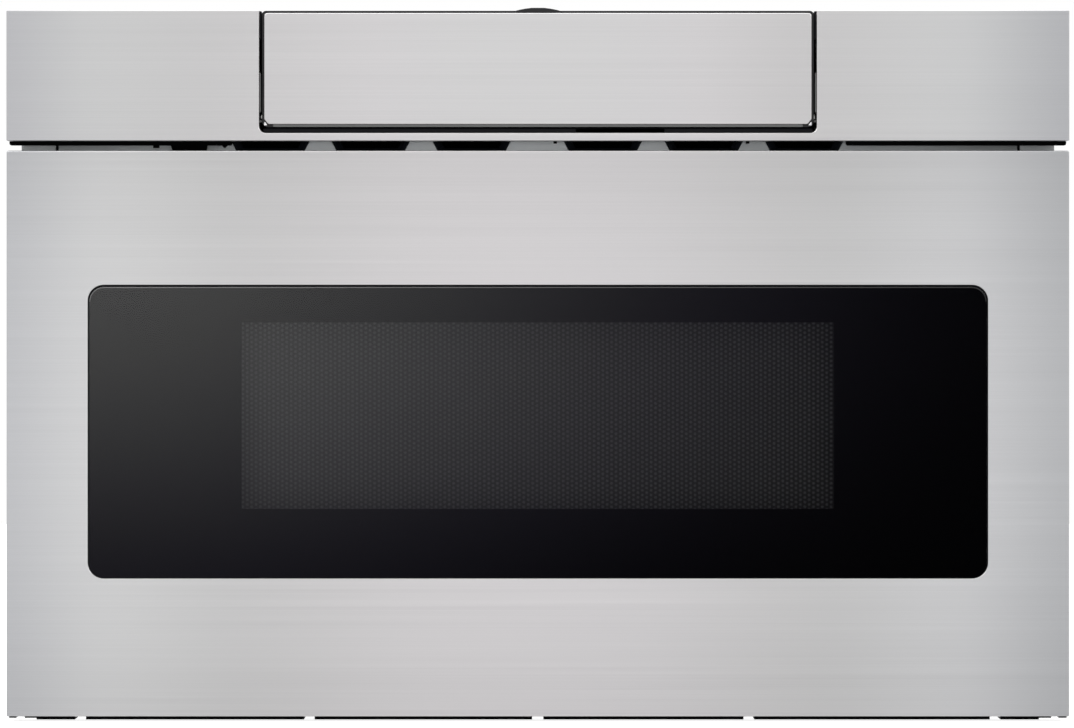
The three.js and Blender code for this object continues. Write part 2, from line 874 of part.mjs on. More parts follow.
piece(
  drawer,
  "latch_hook",
  join(
    block(203, 211, -271.7, -243, 304, 308.5),
    block(203, 211, -249, -243, 304, 312.8),
    block(198, 216, -271.7, -269.7, 304, 320),
  ),
  finish(0xe6e2d6, 0.5, 0),
);

// ================= tilting control panel =================
const flap = section(0, HINGE_Y, HINGE_Z);
piece(
  flap,
  "flap_skin",
  cut(
    block(-FLAP_HALF_W, FLAP_HALF_W, FRONT_Y, FRONT_Y + 4, FLAP_BOTTOM, FLAP_TOP),
    block(
      -FLAP_HALF_W + SHEET,
      FLAP_HALF_W - SHEET,
      FRONT_Y + SHEET,
      -280,
      FLAP_BOTTOM + SHEET,
      FLAP_TOP - SHEET,
    ),
  ),
  stainless(),
);
const lip = new THREE.Shape();
lip.moveTo(-12.8, 404);
lip.lineTo(12.8, 404);
lip.quadraticCurveTo(11, 406.3, 7, 406.3);
lip.lineTo(-7, 406.3);
lip.quadraticCurveTo(-11, 406.3, -12.8, 404);
piece(
  flap,
  "flap_housing",
  cut(
    join(
      block(-154.9, 154.9, -294, -290.9, FLAP_BOTTOM + 1.3, FLAP_TOP - 1.3),
      block(-157.6, 157.6, -291, -276.5, 338.1, 404.4),
      alongY(lip, -291, -284),
    ),
    block(-153, 153, -288, -270, 351, 400.5),
    hingeHole(1.9),
  ),
  darkPlastic(),
);
piece(
  flap,
  "control_board",
  join(
    block(-146, 146, -285, -283.4, 355, 398),
    block(-40, 40, -283.5, -279, 372, 392),
    block(80, 120, -283.5, -280, 360, 380),
    block(-130, -118, -287.5, -284.9, 360, 366),
    block(118, 130, -287.5, -284.9, 360, 366),
  ),
  board(),
);
piece(
  flap,
  "touch_glass",
  alongY(roundedRect(-155, 155, 341, 402.5, 3), -276.2, -273.7),
  blackGlass(),
);
piece(flap, "flap_hinge_rod", rod("x", 1.6, -165, 165, HINGE_Y, HINGE_Z, 16), steel());

export default unit;
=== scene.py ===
# Looks of the built-in microwave drawer. Metres, +Z up, the front faces -Y.
import bpy, bmesh, json, math
from mathutils import Vector, Matrix
from math import sin, cos, tan, radians, pi


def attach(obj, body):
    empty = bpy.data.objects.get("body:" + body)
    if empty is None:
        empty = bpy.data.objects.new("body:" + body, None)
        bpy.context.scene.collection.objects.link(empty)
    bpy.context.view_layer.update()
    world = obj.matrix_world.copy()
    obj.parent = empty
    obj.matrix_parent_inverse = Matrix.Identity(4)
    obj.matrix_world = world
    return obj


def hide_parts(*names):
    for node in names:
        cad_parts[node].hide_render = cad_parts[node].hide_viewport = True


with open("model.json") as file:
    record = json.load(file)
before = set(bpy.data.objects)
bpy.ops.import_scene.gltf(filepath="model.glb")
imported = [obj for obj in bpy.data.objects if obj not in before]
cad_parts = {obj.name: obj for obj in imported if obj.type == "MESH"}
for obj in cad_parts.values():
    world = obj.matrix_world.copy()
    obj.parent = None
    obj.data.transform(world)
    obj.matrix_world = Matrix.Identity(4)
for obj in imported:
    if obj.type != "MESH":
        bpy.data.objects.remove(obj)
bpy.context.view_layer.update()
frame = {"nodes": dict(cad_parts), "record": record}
nodes = frame["nodes"]
sc = bpy.context.scene
MM = 0.001

# ------------------------------------------------------------------ camera
# The photograph is 1074 x 728 and looks straight at the front: one pixel is 0.5704 mm at the front plane.
PX = 0.5704
DIST = 3.0
cam_data = bpy.data.cameras.new("camera")
cam_data.sensor_fit = "HORIZONTAL"
cam_data.sensor_width = 36.0
cam_data.lens = 36.0 * DIST * 1000 / (1074 * PX)
cam_data.clip_end = 60
cam = bpy.data.objects.new("camera", cam_data)
sc.collection.objects.link(cam)
cam.location = (-0.9 * PX * MM, -0.2953 - DIST, (719.5 - 364) * PX * MM)
cam.rotation_euler = (radians(90), 0, 0)
sc.camera = cam
sc.view_settings.view_transform = "Standard"
sc.view_settings.look = "None"
sc.view_settings.exposure = 0
sc.view_settings.gamma = 1


# ------------------------------------------------------------------ materials
def new_mat(name):
    m = bpy.data.materials.new(name)
    m.use_nodes = True
    nt = m.node_tree
    bsdf = nt.nodes["Principled BSDF"]
    return m, nt, bsdf


def node(nt, kind, **kw):
    n = nt.nodes.new(kind)
    for k, v in kw.items():
        if k == "inputs":
            for i, val in v.items():
                n.inputs[i].default_value = val
        else:
            setattr(n, k, v)
    return n


def coords(nt, scale):
    tc = node(nt, "ShaderNodeTexCoord")
    mp = node(nt, "ShaderNodeMapping")
    mp.inputs["Scale"].default_value = scale
    nt.links.new(tc.outputs["Object"], mp.inputs["Vector"])
    return mp.outputs["Vector"]


def noise(nt, scale, detail=3.0, size=1.0, rough=0.5):
    n = node(nt, "ShaderNodeTexNoise")
    n.inputs["Scale"].default_value = size
    n.inputs["Detail"].default_value = detail
    n.inputs["Roughness"].default_value = rough
    nt.links.new(coords(nt, scale), n.inputs["Vector"])
    return n.outputs["Fac"]


def ramp(nt, fac, stops):
    r = node(nt, "ShaderNodeValToRGB")
    e = r.color_ramp.elements
    while len(e) > len(stops):
        e.remove(e[-1])
    while len(e) < len(stops):
        e.new(0.5)
    for el, (p, c) in zip(e, stops):
        el.position = p
        el.color = (c, c, c, 1) if isinstance(c, (int, float)) else (*c, 1)
    nt.links.new(fac, r.inputs["Fac"])
    return r.outputs["Color"]


def map_range(nt, fac, a, b, lo, hi):
    n = node(nt, "ShaderNodeMapRange")
    n.inputs["From Min"].default_value = a
    n.inputs["From Max"].default_value = b
    n.inputs["To Min"].default_value = lo
    n.inputs["To Max"].default_value = hi
    nt.links.new(fac, n.inputs["Value"])
    return n.outputs["Result"]


def mix_col(nt, fac, a, b):
    n = node(nt, "ShaderNodeMix", data_type="RGBA")
    n.inputs["A"].default_value = (*a, 1)
    n.inputs["B"].default_value = (*b, 1)
    nt.links.new(fac, n.inputs["Factor"])
    return n.outputs["Result"]


def bump(nt, bsdf, height, strength, dist):
    b = node(nt, "ShaderNodeBump")
    b.inputs["Strength"].default_value = strength
    b.inputs["Distance"].default_value = dist
    nt.links.new(height, b.inputs["Height"])
    nt.links.new(b.outputs["Normal"], bsdf.inputs["Normal"])
    return b


def add(nt, a, b, op="ADD"):
    n = node(nt, "ShaderNodeMath", operation=op)
    for i, v in enumerate((a, b)):
        if isinstance(v, (int, float)):
            n.inputs[i].default_value = v
        else:
            nt.links.new(v, n.inputs[i])
    return n.outputs["Value"]


def shade(nt, col, axis, stops):
    """Painted light and shade: a slow change of brightness along one axis of the sheet, standing in for how light falls
    on it. Stops are (metres, factor or (r, g, b)).
    """
    tc = node(nt, "ShaderNodeTexCoord")
    sep = node(nt, "ShaderNodeSeparateXYZ")
    nt.links.new(tc.outputs["Object"], sep.inputs["Vector"])
    lo, hi = stops[0][0], stops[-1][0]
    r = node(nt, "ShaderNodeValToRGB")
    r.color_ramp.interpolation = "CARDINAL"
    e = r.color_ramp.elements
    while len(e) < len(stops):
        e.new(0.5)
    for el, (x, c) in zip(e, stops):
        el.position = (x - lo) / (hi - lo)
        el.color = (c, c, c, 1) if isinstance(c, (int, float)) else (*c, 1)
    nt.links.new(map_range(nt, sep.outputs[axis], lo, hi, 0.0, 1.0), r.inputs["Fac"])
    mul = node(nt, "ShaderNodeMix", data_type="RGBA", blend_type="MULTIPLY")
    mul.inputs["Factor"].default_value = 1.0
    nt.links.new(col, mul.inputs["A"])
    nt.links.new(r.outputs["Color"], mul.inputs["B"])
    return mul.outputs["Result"]


def brushed(name, colour, colour2, rough, streak=(4, 60, 1500), strength=0.05, var=0.05, across=None, upward=None):
    """Metal sheet with fine straight brushing along X; where across or upward is given, painted light and shade: a slow
    change of brightness over its width and height.
    """
    m, nt, b = new_mat(name)
    b.inputs["Metallic"].default_value = 1.0
    fine = noise(nt, streak, 4.0, 1.0, 0.6)
    broad = noise(nt, (streak[0] * 0.35, streak[1] * 0.3, streak[2] * 0.3), 3.0)
    cloud = noise(nt, (3.1, 3.1, 2.3), 2.0)
    both = add(nt, add(nt, fine, 0.78, "MULTIPLY"), add(nt, broad, 0.22, "MULTIPLY"))
    tone = add(nt, add(nt, both, 0.8, "MULTIPLY"), add(nt, cloud, 0.2, "MULTIPLY"))
    col = mix_col(nt, map_range(nt, tone, 0.3, 0.7, 0.0, 1.0), colour, colour2)
    for axis, stops in (("X", across), ("Z", upward)):
        if stops:
            col = shade(nt, col, axis, stops)
    nt.links.new(col, b.inputs["Base Color"])
    nt.links.new(map_range(nt, both, 0.3, 0.7, rough - var, rough + var), b.inputs["Roughness"])
    bump(nt, b, both, strength, 0.0002)
    return m


def plastic(name, colour, rough, grain=2600, strength=0.12, var=0.05, spec=0.5, across=None):
    """Moulded plastic: spark-eroded grain and a slow unevenness in its gloss; where across is given, painted light and
    shade along X.
    """
    m, nt, b = new_mat(name)
    g = noise(nt, (grain,) * 3, 2.0)
    slow = noise(nt, (22,) * 3, 2.0)
    c2 = tuple(min(1, c * 1.22 + 0.0015) for c in colour)
    col = mix_col(nt, slow, colour, c2)
    nt.links.new(shade(nt, col, "X", across) if across else col, b.inputs["Base Color"])
    nt.links.new(map_range(nt, slow, 0.3, 0.7, rough - var, rough + var), b.inputs["Roughness"])
    b.inputs["Specular IOR Level"].default_value = spec
    bump(nt, b, g, strength, 0.0001)
    return m


def painted(name, colour, rough, speck=0.0, across=None):
    """Baked enamel: orange-peel gloss, faint speckle; where across is given, painted light and shade along X."""
    m, nt, b = new_mat(name)
    peel = noise(nt, (420,) * 3, 2.0)
    sp = noise(nt, (1900,) * 3, 1.0)
    slow = noise(nt, (9,) * 3, 2.0)
    f = add(nt, map_range(nt, sp, 0.62, 0.72, 0.0, speck), map_range(nt, slow, 0.3, 0.7, 0.0, 0.5))
    col = mix_col(nt, f, colour, tuple(c * 0.82 for c in colour))
    nt.links.new(shade(nt, col, "X", across) if across else col, b.inputs["Base Color"])
    nt.links.new(map_range(nt, peel, 0.3, 0.7, rough - 0.05, rough + 0.05), b.inputs["Roughness"])
    bump(nt, b, peel, 0.08, 0.0003)
    return m


def galvanised(name, dark=(0.45, 0.47, 0.49), light=(0.56, 0.58, 0.60)):
    """Zinc-coated sheet with its spangle of crystals and faint rolling lines."""
    m, nt, b = new_mat(name)
    b.inputs["Metallic"].default_value = 1.0
    v = node(nt, "ShaderNodeTexVoronoi", feature="F1")
    v.inputs["Scale"].default_value = 1.0
    v.inputs["Randomness"].default_value = 1.0
    nt.links.new(coords(nt, (150, 150, 150)), v.inputs["Vector"])
    sep = node(nt, "ShaderNodeSeparateColor")
    nt.links.new(v.outputs["Color"], sep.inputs["Color"])
    cell = sep.outputs["Red"]
    slow = noise(nt, (7, 7, 7), 3.0)
    roll = noise(nt, (3, 700, 3), 2.0)
    tone = add(nt, add(nt, cell, 0.55, "MULTIPLY"), add(nt, slow, 0.45, "MULTIPLY"))
    nt.links.new(mix_col(nt, tone, dark, light), b.inputs["Base Color"])
    nt.links.new(map_range(nt, sep.outputs["Green"], 0.0, 1.0, 0.36, 0.48), b.inputs["Roughness"])
    bump(nt, b, add(nt, roll, cell, "ADD"), 0.05, 0.0002)
    return m


M = {}
# The across stops paint light and shade on the fascia's steel: darker and cooler towards both ends, lighter in the
# middle.
M["stainless"] = brushed(
    "stainless_brushed", (0.645, 0.640, 0.638), (0.705, 0.698, 0.698), 0.36, (3, 60, 1700), 0.05, 0.05,
    [(-0.303, (0.75, 0.76, 0.785)), (-0.26, (0.88, 0.89, 0.892)), (-0.181, (0.903, 0.90, 0.902)), (-0.091, (1.0, 0.988, 0.995)),
     (0.09, (1.0, 0.987, 0.994)), (0.151, (0.917, 0.912, 0.913)), (0.244, (0.92, 0.932, 0.935)), (0.303, (0.71, 0.725, 0.748))])
# A lighter copy of the fascia's steel for the drawer front, painted light; its stops paint shade darker towards both
# ends and towards the top and bottom.
M["stainless_drawer_painted_light"] = brushed(
    "stainless_brushed_drawer_painted_light", (0.70, 0.694, 0.692), (0.765, 0.757, 0.757), 0.36, (3, 60, 1700), 0.05, 0.05,
    [(-0.303, (0.777, 0.793, 0.815)), (-0.253, (0.925, 0.935, 0.936)), (-0.168, (0.889, 0.89, 0.889)), (-0.067, (0.986, 0.972, 0.978)),
     (0.064, (0.967, 0.956, 0.962)), (0.16, (0.871, 0.874, 0.872)), (0.244, (0.90, 0.911, 0.92)), (0.303, (0.70, 0.717, 0.734))],
    [(0.002, 0.875), (0.053, 0.948), (0.136, 1.0), (0.182, 0.998), (0.274, 0.943), (0.325, 0.87)])
M["galvanised"] = galvanised("galvanised_sheet")
# A darker copy of the galvanised sheet for the top cover: painted shade, holding back the overhead light on it.
M["galvanised_painted_shade"] = galvanised("galvanised_cover_painted_shade", (0.25, 0.262, 0.275), (0.325, 0.338, 0.352))
# The across stops paint light and shade on the face plate: darker at its ends, where the fascia's lips shade it,
# lighter in the middle.
M["face_plate"] = brushed("face_plate_steel", (0.84, 0.87, 0.88), (0.91, 0.945, 0.955), 0.5, (4, 60, 500), 0.04, 0.05,
                          [(-0.276, 0.60), (-0.238, 0.81), (-0.205, 1.04), (-0.12, 0.93), (0.0, 1.0), (0.12, 0.83), (0.206, 0.83), (0.276, 0.47)])
M["face_plate"].node_tree.nodes["Principled BSDF"].inputs["Metallic"].default_value = 0.6
# The across stops paint light and shade on the mounting flanges: darker towards their outer edges, lighter towards the
# case.
M["flange"] = brushed("flange_steel", (0.62, 0.64, 0.65), (0.70, 0.72, 0.73), 0.5, (4, 60, 500), 0.04, 0.05,
                      [(-0.2973, 0.74), (-0.2775, 1.13), (0.2775, 0.96), (0.2973, 0.66)])
M["flange"].node_tree.nodes["Principled BSDF"].inputs["Metallic"].default_value = 0.5
M["black_plastic"] = plastic("black_plastic", (0.0004, 0.0004, 0.0005), 0.45, spec=0.004)
M["rim_plastic"] = plastic("rim_plastic", (0.0035, 0.0035, 0.0042), 0.34, strength=0.06, spec=0.4)
M["mouth_plastic"] = plastic("mouth_plastic", (0.008, 0.009, 0.012), 0.3, strength=0.05, spec=0.2)
M["trim_plastic"] = plastic("trim_plastic", (0.098, 0.099, 0.099), 0.5, spec=0.15)
M["strip"] = plastic("gap_strip", (0.008, 0.008, 0.0105), 0.5, spec=0.2)
M["enamel"] = painted("cavity_enamel", (0.33, 0.34, 0.345), 0.33, 0.5)
# The across stops paint light on the screen's paint: lighter on the left, darker to the right, as if lit from the left.
M["screen"] = painted("screen_paint", (0.23, 0.23, 0.232), 0.32, across=[(-0.25, 1.0), (0.25, 0.22)])
M["slide"] = brushed("slide_steel", (0.60, 0.60, 0.58), (0.70, 0.70, 0.68), 0.26, (900, 4, 900), 0.05)
M["choke"] = plastic("choke_plastic", (0.16, 0.16, 0.168), 0.5)
M["mica"] = plastic("mica_sheet", (0.60, 0.54, 0.42), 0.6, grain=900, strength=0.2)
M["ceramic"] = painted("ceramic_plate", (0.68, 0.66, 0.62), 0.14, 0.2)
M["nylon"] = plastic("natural_nylon", (0.70, 0.68, 0.60), 0.5)
M["plated"] = brushed("plated_steel", (0.44, 0.44, 0.42), (0.56, 0.56, 0.54), 0.3, (60, 60, 900), 0.05)
M["aluminium"] = brushed("aluminium_sheet", (0.70, 0.70, 0.71), (0.80, 0.80, 0.81), 0.3, (40, 40, 700), 0.06)
M["core"] = painted("transformer_varnish", (0.10, 0.055, 0.03), 0.4, 0.8)
M["board"] = painted("circuit_board", (0.03, 0.14, 0.06), 0.35, 0.6)
M["lamp"] = plastic("lamp_moulding", (0.72, 0.68, 0.56), 0.3)
M["chrome"] = brushed("polished_pin", (0.78, 0.78, 0.79), (0.86, 0.86, 0.87), 0.12, (900, 90, 90), 0.03, 0.03)
M["touch"] = plastic("touch_black_glass", (0.004, 0.004, 0.005), 0.05, grain=40, strength=0.004, var=0.015)
M["frit"] = plastic("printed_border", (0.0004, 0.0004, 0.0005), 0.5, strength=0.05, spec=0.0)
# The across stops paint light on the film: lighter on the left, darker to the right, as if lit from the left.
M["film"] = plastic("window_film", (0.45, 0.45, 0.46), 0.45, strength=0.05, across=[(-0.25, 1.0), (0.25, 0.62)])
# A painted highlight: the light grey of the strip that stands in for the glint on the pane's upper edge, brighter on
# the left.
M["glass_edge_highlight"] = plastic("painted_glass_edge_highlight", (0.115, 0.115, 0.115), 0.5, strength=0.05, spec=0.1, across=[(-0.25, 1.0), (0.25, 0.2)])
# Mid-grey paint for the plates that paint the steel return's reflection in the cut-out: painted reflection.
M["return_reflection"] = plastic("hinge_bracket_paint", (0.07, 0.07, 0.07), 0.45, spec=0.3)
M["screw"] = brushed("screw_steel", (0.55, 0.55, 0.53), (0.68, 0.68, 0.66), 0.28, (700, 700, 700), 0.1)
M["rubber"] = plastic("rubber", (0.0045, 0.0045, 0.006), 0.6, grain=1500, strength=0.2, spec=0.12)
M["bush"] = plastic("hinge_bush", (0.10, 0.10, 0.10), 0.4, spec=0.4)


def window_glass():
    """Dark tinted float glass, a little light passing through, faint dust in the gloss."""
    m, nt, b = new_mat("tinted_window_glass")
    b.inputs["Base Color"].default_value = (0.0005, 0.0005, 0.0006, 1)
    b.inputs["IOR"].default_value = 1.52
    b.inputs["Alpha"].default_value = 0.5
    dust = noise(nt, (35,) * 3, 3.0)
    nt.links.new(map_range(nt, dust, 0.3, 0.7, 0.01, 0.022), b.inputs["Roughness"])
    return m


M["glass"] = window_glass()


def glow(name, colour, strength):
    m, nt, b = new_mat(name)
    b.inputs["Base Color"].default_value = (*colour, 1)
    b.inputs["Emission Color"].default_value = (*colour, 1)
    b.inputs["Emission Strength"].default_value = strength
    n = noise(nt, (900,) * 3, 1.0)
    nt.links.new(map_range(nt, n, 0.3, 0.7, 0.4, 0.5), b.inputs["Roughness"])
    return m


M["digits"] = glow("display_digits", (0.55, 0.85, 1.0), 1.2)
M["legend"] = plastic("key_legend", (0.62, 0.63, 0.64), 0.4)

SLOT_MAT = {
    "stainless_skin": "stainless", "black_plastic": "black_plastic", "tinted_window_glass": "glass",
    "touch_panel_glass": "touch", "galvanised_sheet": "galvanised", "cavity_enamel": "enamel",
    "perforated_screen": "screen", "slide_steel": "slide", "choke_plastic": "choke", "mica_sheet": "mica",
    "ceramic_plate": "ceramic", "natural_nylon": "nylon", "plated_steel_parts": "plated",
    "aluminium_parts": "aluminium", "transformer_core": "core", "circuit_board": "board",
    "lamp_body": "lamp", "polished_pin": "chrome",
}


def set_mat(o, key):
    o.data.materials.clear()
    o.data.materials.append(M[key])


def soften(o, width, segments=2, angle=35):
    """Rounded edges and clean shading for a faceted solid."""
    w = o.modifiers.new("weld", "WELD")
    w.merge_threshold = 0.00002
    bv = o.modifiers.new("bevel", "BEVEL")
    bv.width = width * MM
    bv.segments = segments
    bv.limit_method = "ANGLE"
    bv.angle_limit = radians(angle)
    bv.use_clamp_overlap = True
    bv.miter_outer = "MITER_SHARP"
    n = o.modifiers.new("normals", "WEIGHTED_NORMAL")
    n.keep_sharp = True
    for p in o.data.polygons:
        p.use_smooth = True


for s in frame["record"]["subparts"]:
    if s["node"] in nodes:
        set_mat(nodes[s["node"]], SLOT_MAT[s["material_slot"]])


# ------------------------------------------------------------------ mesh helpers
def outline(points, radii, n=5):
    """A closed outline in X and Z (anticlockwise seen from the front) with rounded corners, as a function of its inset in mm."""
    P = [Vector(p) for p in points]
    if isinstance(radii, (int, float)):
        radii = [radii] * len(P)

    def at(i):
        out = []
        m = len(P)
        for k in range(m):
            a, b, c = P[k - 1], P[k], P[(k + 1) % m]
            d1, d2 = (b - a).normalized(), (c - b).normalized()
            n1, n2 = Vector((-d1.y, d1.x)), Vector((-d2.y, d2.x))
            q = b + (n1 + n2) * (i / (1 + n1.dot(n2)))
            left = d1.x * d2.y - d1.y * d2.x > 0
            r = max(radii[k] - i if left else radii[k] + i, 0.03)
            ang = math.acos(max(-1, min(1, d1.dot(d2))))
            if ang < 0.001:
                out.append((q.x, q.y))
                continue
            t = r * tan(ang / 2)
            s = q - d1 * t
            centre = s + (n1 if left else -n1) * r
            a0 = math.atan2(s.y - centre.y, s.x - centre.x)
            for j in range(n + 1):
                w = a0 + ang * j / n * (1 if left else -1)
                out.append((centre.x + r * cos(w), centre.y + r * sin(w)))
        return out

    return at


def rect(x0, x1, z0, z1, r, n=5):
    return outline([(x0, z0), (x1, z0), (x1, z1), (x0, z1)], r, n)


def loop(bm, pts, y):
    return [bm.verts.new((x * MM, (y(x, z) if callable(y) else y) * MM, z * MM)) for x, z in pts]


def bridge(bm, A, B):
    n = len(A)
    for i in range(n):
        j = (i + 1) % n
        bm.faces.new((A[i], A[j], B[j], B[i]))


def cap(bm, loops, normal):
    edges = []
    for L in loops:
        for i in range(len(L)):
            a, b = L[i], L[(i + 1) % len(L)]
            e = bm.edges.get((a, b)) or bm.edges.new((a, b))
            edges.append(e)
    bmesh.ops.triangle_fill(bm, edges=edges, use_beauty=True, use_dissolve=False, normal=normal)


def finish_mesh(bm, name, mat, body, weighted=True, recalc=True):
    if recalc:
        bmesh.ops.recalc_face_normals(bm, faces=bm.faces[:])
    me = bpy.data.meshes.new(name)
    bm.to_mesh(me)
    bm.free()
    o = bpy.data.objects.new(name, me)
    sc.collection.objects.link(o)
    for p in me.polygons:
        p.use_smooth = True
    if weighted:
        n = o.modifiers.new("normals", "WEIGHTED_NORMAL")
        n.keep_sharp = True
        n.weight = 80
    set_mat(o, mat)
    if body:
        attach(o, body)
    return o


def formed_sheet(name, mat, body, outer, holes, path, hole_paths, axis="y"):
    """A pressed sheet: path is [(inset, y), ...] from the edge of its front face, round its outside, to its inner face.
    Each hole has its own path. The first and last rings bound the two flat faces."""
    bm = bmesh.new()
    rings = [loop(bm, outer(i), y) for i, y in path]
    for A, B in zip(rings, rings[1:]):
        bridge(bm, A, B)
    firsts, lasts = [rings[0]], [rings[-1]]
    for h, hp in zip(holes, hole_paths):
        hr = [loop(bm, h(i), y) for i, y in hp]
        for A, B in zip(hr, hr[1:]):
            bridge(bm, A, B)
        firsts.append(hr[0])
        lasts.append(hr[-1])
    cap(bm, firsts, (0, -1, 0))
    cap(bm, lasts, (0, 1, 0))
    return finish_mesh(bm, name, mat, body)


def edge_arc(r, y, n=4, sign=1):
    """Rounded edge from the front face (inset r) to the side (inset 0)."""
    return [(sign * (r - r * sin(pi / 2 * k / n)), y + r - r * cos(pi / 2 * k / n)) for k in range(n + 1)]


def slab(name, mat, body, out_fn, y0, y1, r=0.6, holes=(), n=3):
    """A solid plate from y0 to y1 with rounded front and back edges, and the same on its holes."""
    path = edge_arc(r, y0, n) + [(i, y1 - (y - y0)) for i, y in reversed(edge_arc(r, y0, n))]
    hp = [(-i, y) for i, y in path]
    return formed_sheet(name, mat, body, out_fn, list(holes), path, [hp] * len(holes))


def rbox(name, mat, body, x0, x1, y0, y1, z0, z1, r=0.6, seg=2):
    bm = bmesh.new()
    bmesh.ops.create_cube(bm, size=1.0)
    for v in bm.verts:
        v.co = Vector(((x0 + x1) / 2 + v.co.x * (x1 - x0), (y0 + y1) / 2 + v.co.y * (y1 - y0), (z0 + z1) / 2 + v.co.z * (z1 - z0))) * MM
    bmesh.ops.bevel(bm, geom=bm.edges[:], offset=r * MM, segments=seg, profile=0.5, affect="EDGES", clamp_overlap=True)
    return finish_mesh(bm, name, mat, body)


def turned(name, mat, body, profile, centre, axis="z", n=32):
    """A turned piece: profile is [(radius, height), ...] in mm, closed on its axis."""
    bm = bmesh.new()
    rings = []
    c = Vector(centre) * MM
    rot = {"z": Matrix.Identity(3), "y": Matrix.Rotation(radians(-90), 3, "X"), "-y": Matrix.Rotation(radians(90), 3, "X"),
           "x": Matrix.Rotation(radians(90), 3, "Y"), "-x": Matrix.Rotation(radians(-90), 3, "Y"), "-z": Matrix.Rotation(radians(180), 3, "X")}[axis]
    for r, h in profile:
        if r <= 1e-6:
            rings.append([bm.verts.new(c + rot @ Vector((0, 0, h * MM)))])
        else:
            rings.append([bm.verts.new(c + rot @ Vector((r * MM * cos(2 * pi * k / n), r * MM * sin(2 * pi * k / n), h * MM))) for k in range(n)])
    for A, B in zip(rings, rings[1:]):
        for k in range(n):
            j = (k + 1) % n
            if len(A) == 1 and len(B) > 1:
                bm.faces.new((A[0], B[j], B[k]))
            elif len(B) == 1 and len(A) > 1:
                bm.faces.new((A[k], A[j], B[0]))
            elif len(A) > 1:
                bm.faces.new((A[k], A[j], B[j], B[k]))
    return finish_mesh(bm, name, mat, body)


# ------------------------------------------------------------------ dimensions shared with the solids (mm)
FY = -295.3
CAM_Z = 202.8


def back(v, d, c=0.0):
    """A coordinate seen at v in the front plane, at depth d mm behind it."""
    return c + (v - c) * (DIST * 1000 + d) / (DIST * 1000)


def X(px, d=0.0):
    return back((px - 537.9) * PX, d)


def Z(py, d=0.0):
    return back((719.5 - py) * PX, d, CAM_Z)


def edge_height(out, z0, k, reach=1.3):
    """The same outline with the rounding at its edge z0 made k times as tall."""
    return lambda i: [(x, z0 + (z - z0) * k if abs(z - z0) < reach else z) for x, z in out(i)]


# ------------------------------------------------------------------ stainless fascia
def u_outline(r_out=0.9):
    return outline(
        [(-303.2, 330.1), (303.2, 330.1), (303.2, 332.0), (303.2, 404.5), (159.0, 404.5), (159.0, 334.7), (-159.0, 334.7), (-159.0, 404.5), (-303.2, 404.5), (-303.2, 332.0)],
        [r_out, r_out, 1, r_out, 0.7, 3.7, 3.7, 0.7, r_out, 1], 6)


def fascia_depth(x, z):
    return FY + (8.0 if z < 331.8 else 22.0)


fascia = formed_sheet(
    "fascia_front", "stainless", "chassis", edge_height(edge_height(u_outline(), 330.1, 0.6), 404.5, 0.5), [],
    edge_arc(0.8, FY, 5) + [(0.0, fascia_depth), (0.45, lambda x, z: fascia_depth(x, z) + 0.2), (0.95, fascia_depth), (0.95, FY + 1.3), (1.2, FY + 1.0)], [])
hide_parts("fascia_skin")

# ------------------------------------------------------------------ stainless drawer front with its window opening
drawer_out = edge_height(outline([(-303.1, 1.6), (303.1, 1.6), (303.1, 3.3), (303.1, 324.5), (-303.1, 324.5), (-303.1, 3.3)], 0.9, 6), 324.5, 1.3)
win_hole = rect(-256.75, 256.75, 80.4, 247.9, 9.1, 12)


def drawer_depth(x, z):
    return FY + (1.6 if z < 3.0 else 22.0)


drawer_front = formed_sheet(
    "drawer_front", "stainless_drawer_painted_light", "drawer", drawer_out, [win_hole],
    edge_arc(0.8, FY, 5) + [(0.0, drawer_depth), (0.45, lambda x, z: drawer_depth(x, z) + 0.2), (0.95, drawer_depth), (0.95, FY + 1.3), (1.2, FY + 1.0)],
    [[(-i, y) for i, y in edge_arc(0.5, FY, 5)] + [(0.0, FY + 1.05), (-0.3, FY + 1.15), (-0.6, FY + 1.0)]])
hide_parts("drawer_front_skin")

# ------------------------------------------------------------------ window: glass, seal, printed border, screen and film
def glass_pane():
    """The pane stands in the window opening of the stainless, with a ground edge, a narrow gap above and beside it and none below."""
    out = rect(-256.25, 256.25, 80.5, 247.0, 8.7, 12)
    path = [(1.8, FY + 0.55), (0.2, FY + 0.55), (0.06, FY + 0.61), (0.0, FY + 0.75), (0.0, FY + 1.05), (0.0, -290.3), (0.3, -289.95)]
    return formed_sheet("window_glass", "glass", "drawer", out, [], path, [])


glass = glass_pane()
for p in glass.data.polygons:
    p.use_smooth = abs(p.normal.y) < 0.9999  # the two faces are dead flat
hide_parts("door_glass")
seal = slab("window_seal", "rubber", "drawer", rect(-263.5, 263.5, 73.5, 255, 6, 4), -293.8, -290.0, 0.3,
            [rect(-256.35, 256.35, 80.4, 247.1, 8.8, 12)], 2)
SX0, SX1, SZ0, SZ1 = X(241.0), X(834.5), Z(509.2), Z(322.3)
border = slab("window_border", "frit", "drawer", rect(-256.8, 256.8, 80.0, 247.6, 9, 6), -289.85, -289.65, 0.08,
              [rect(SX0, SX1, SZ0, SZ1, 0.6, 3)], 1)


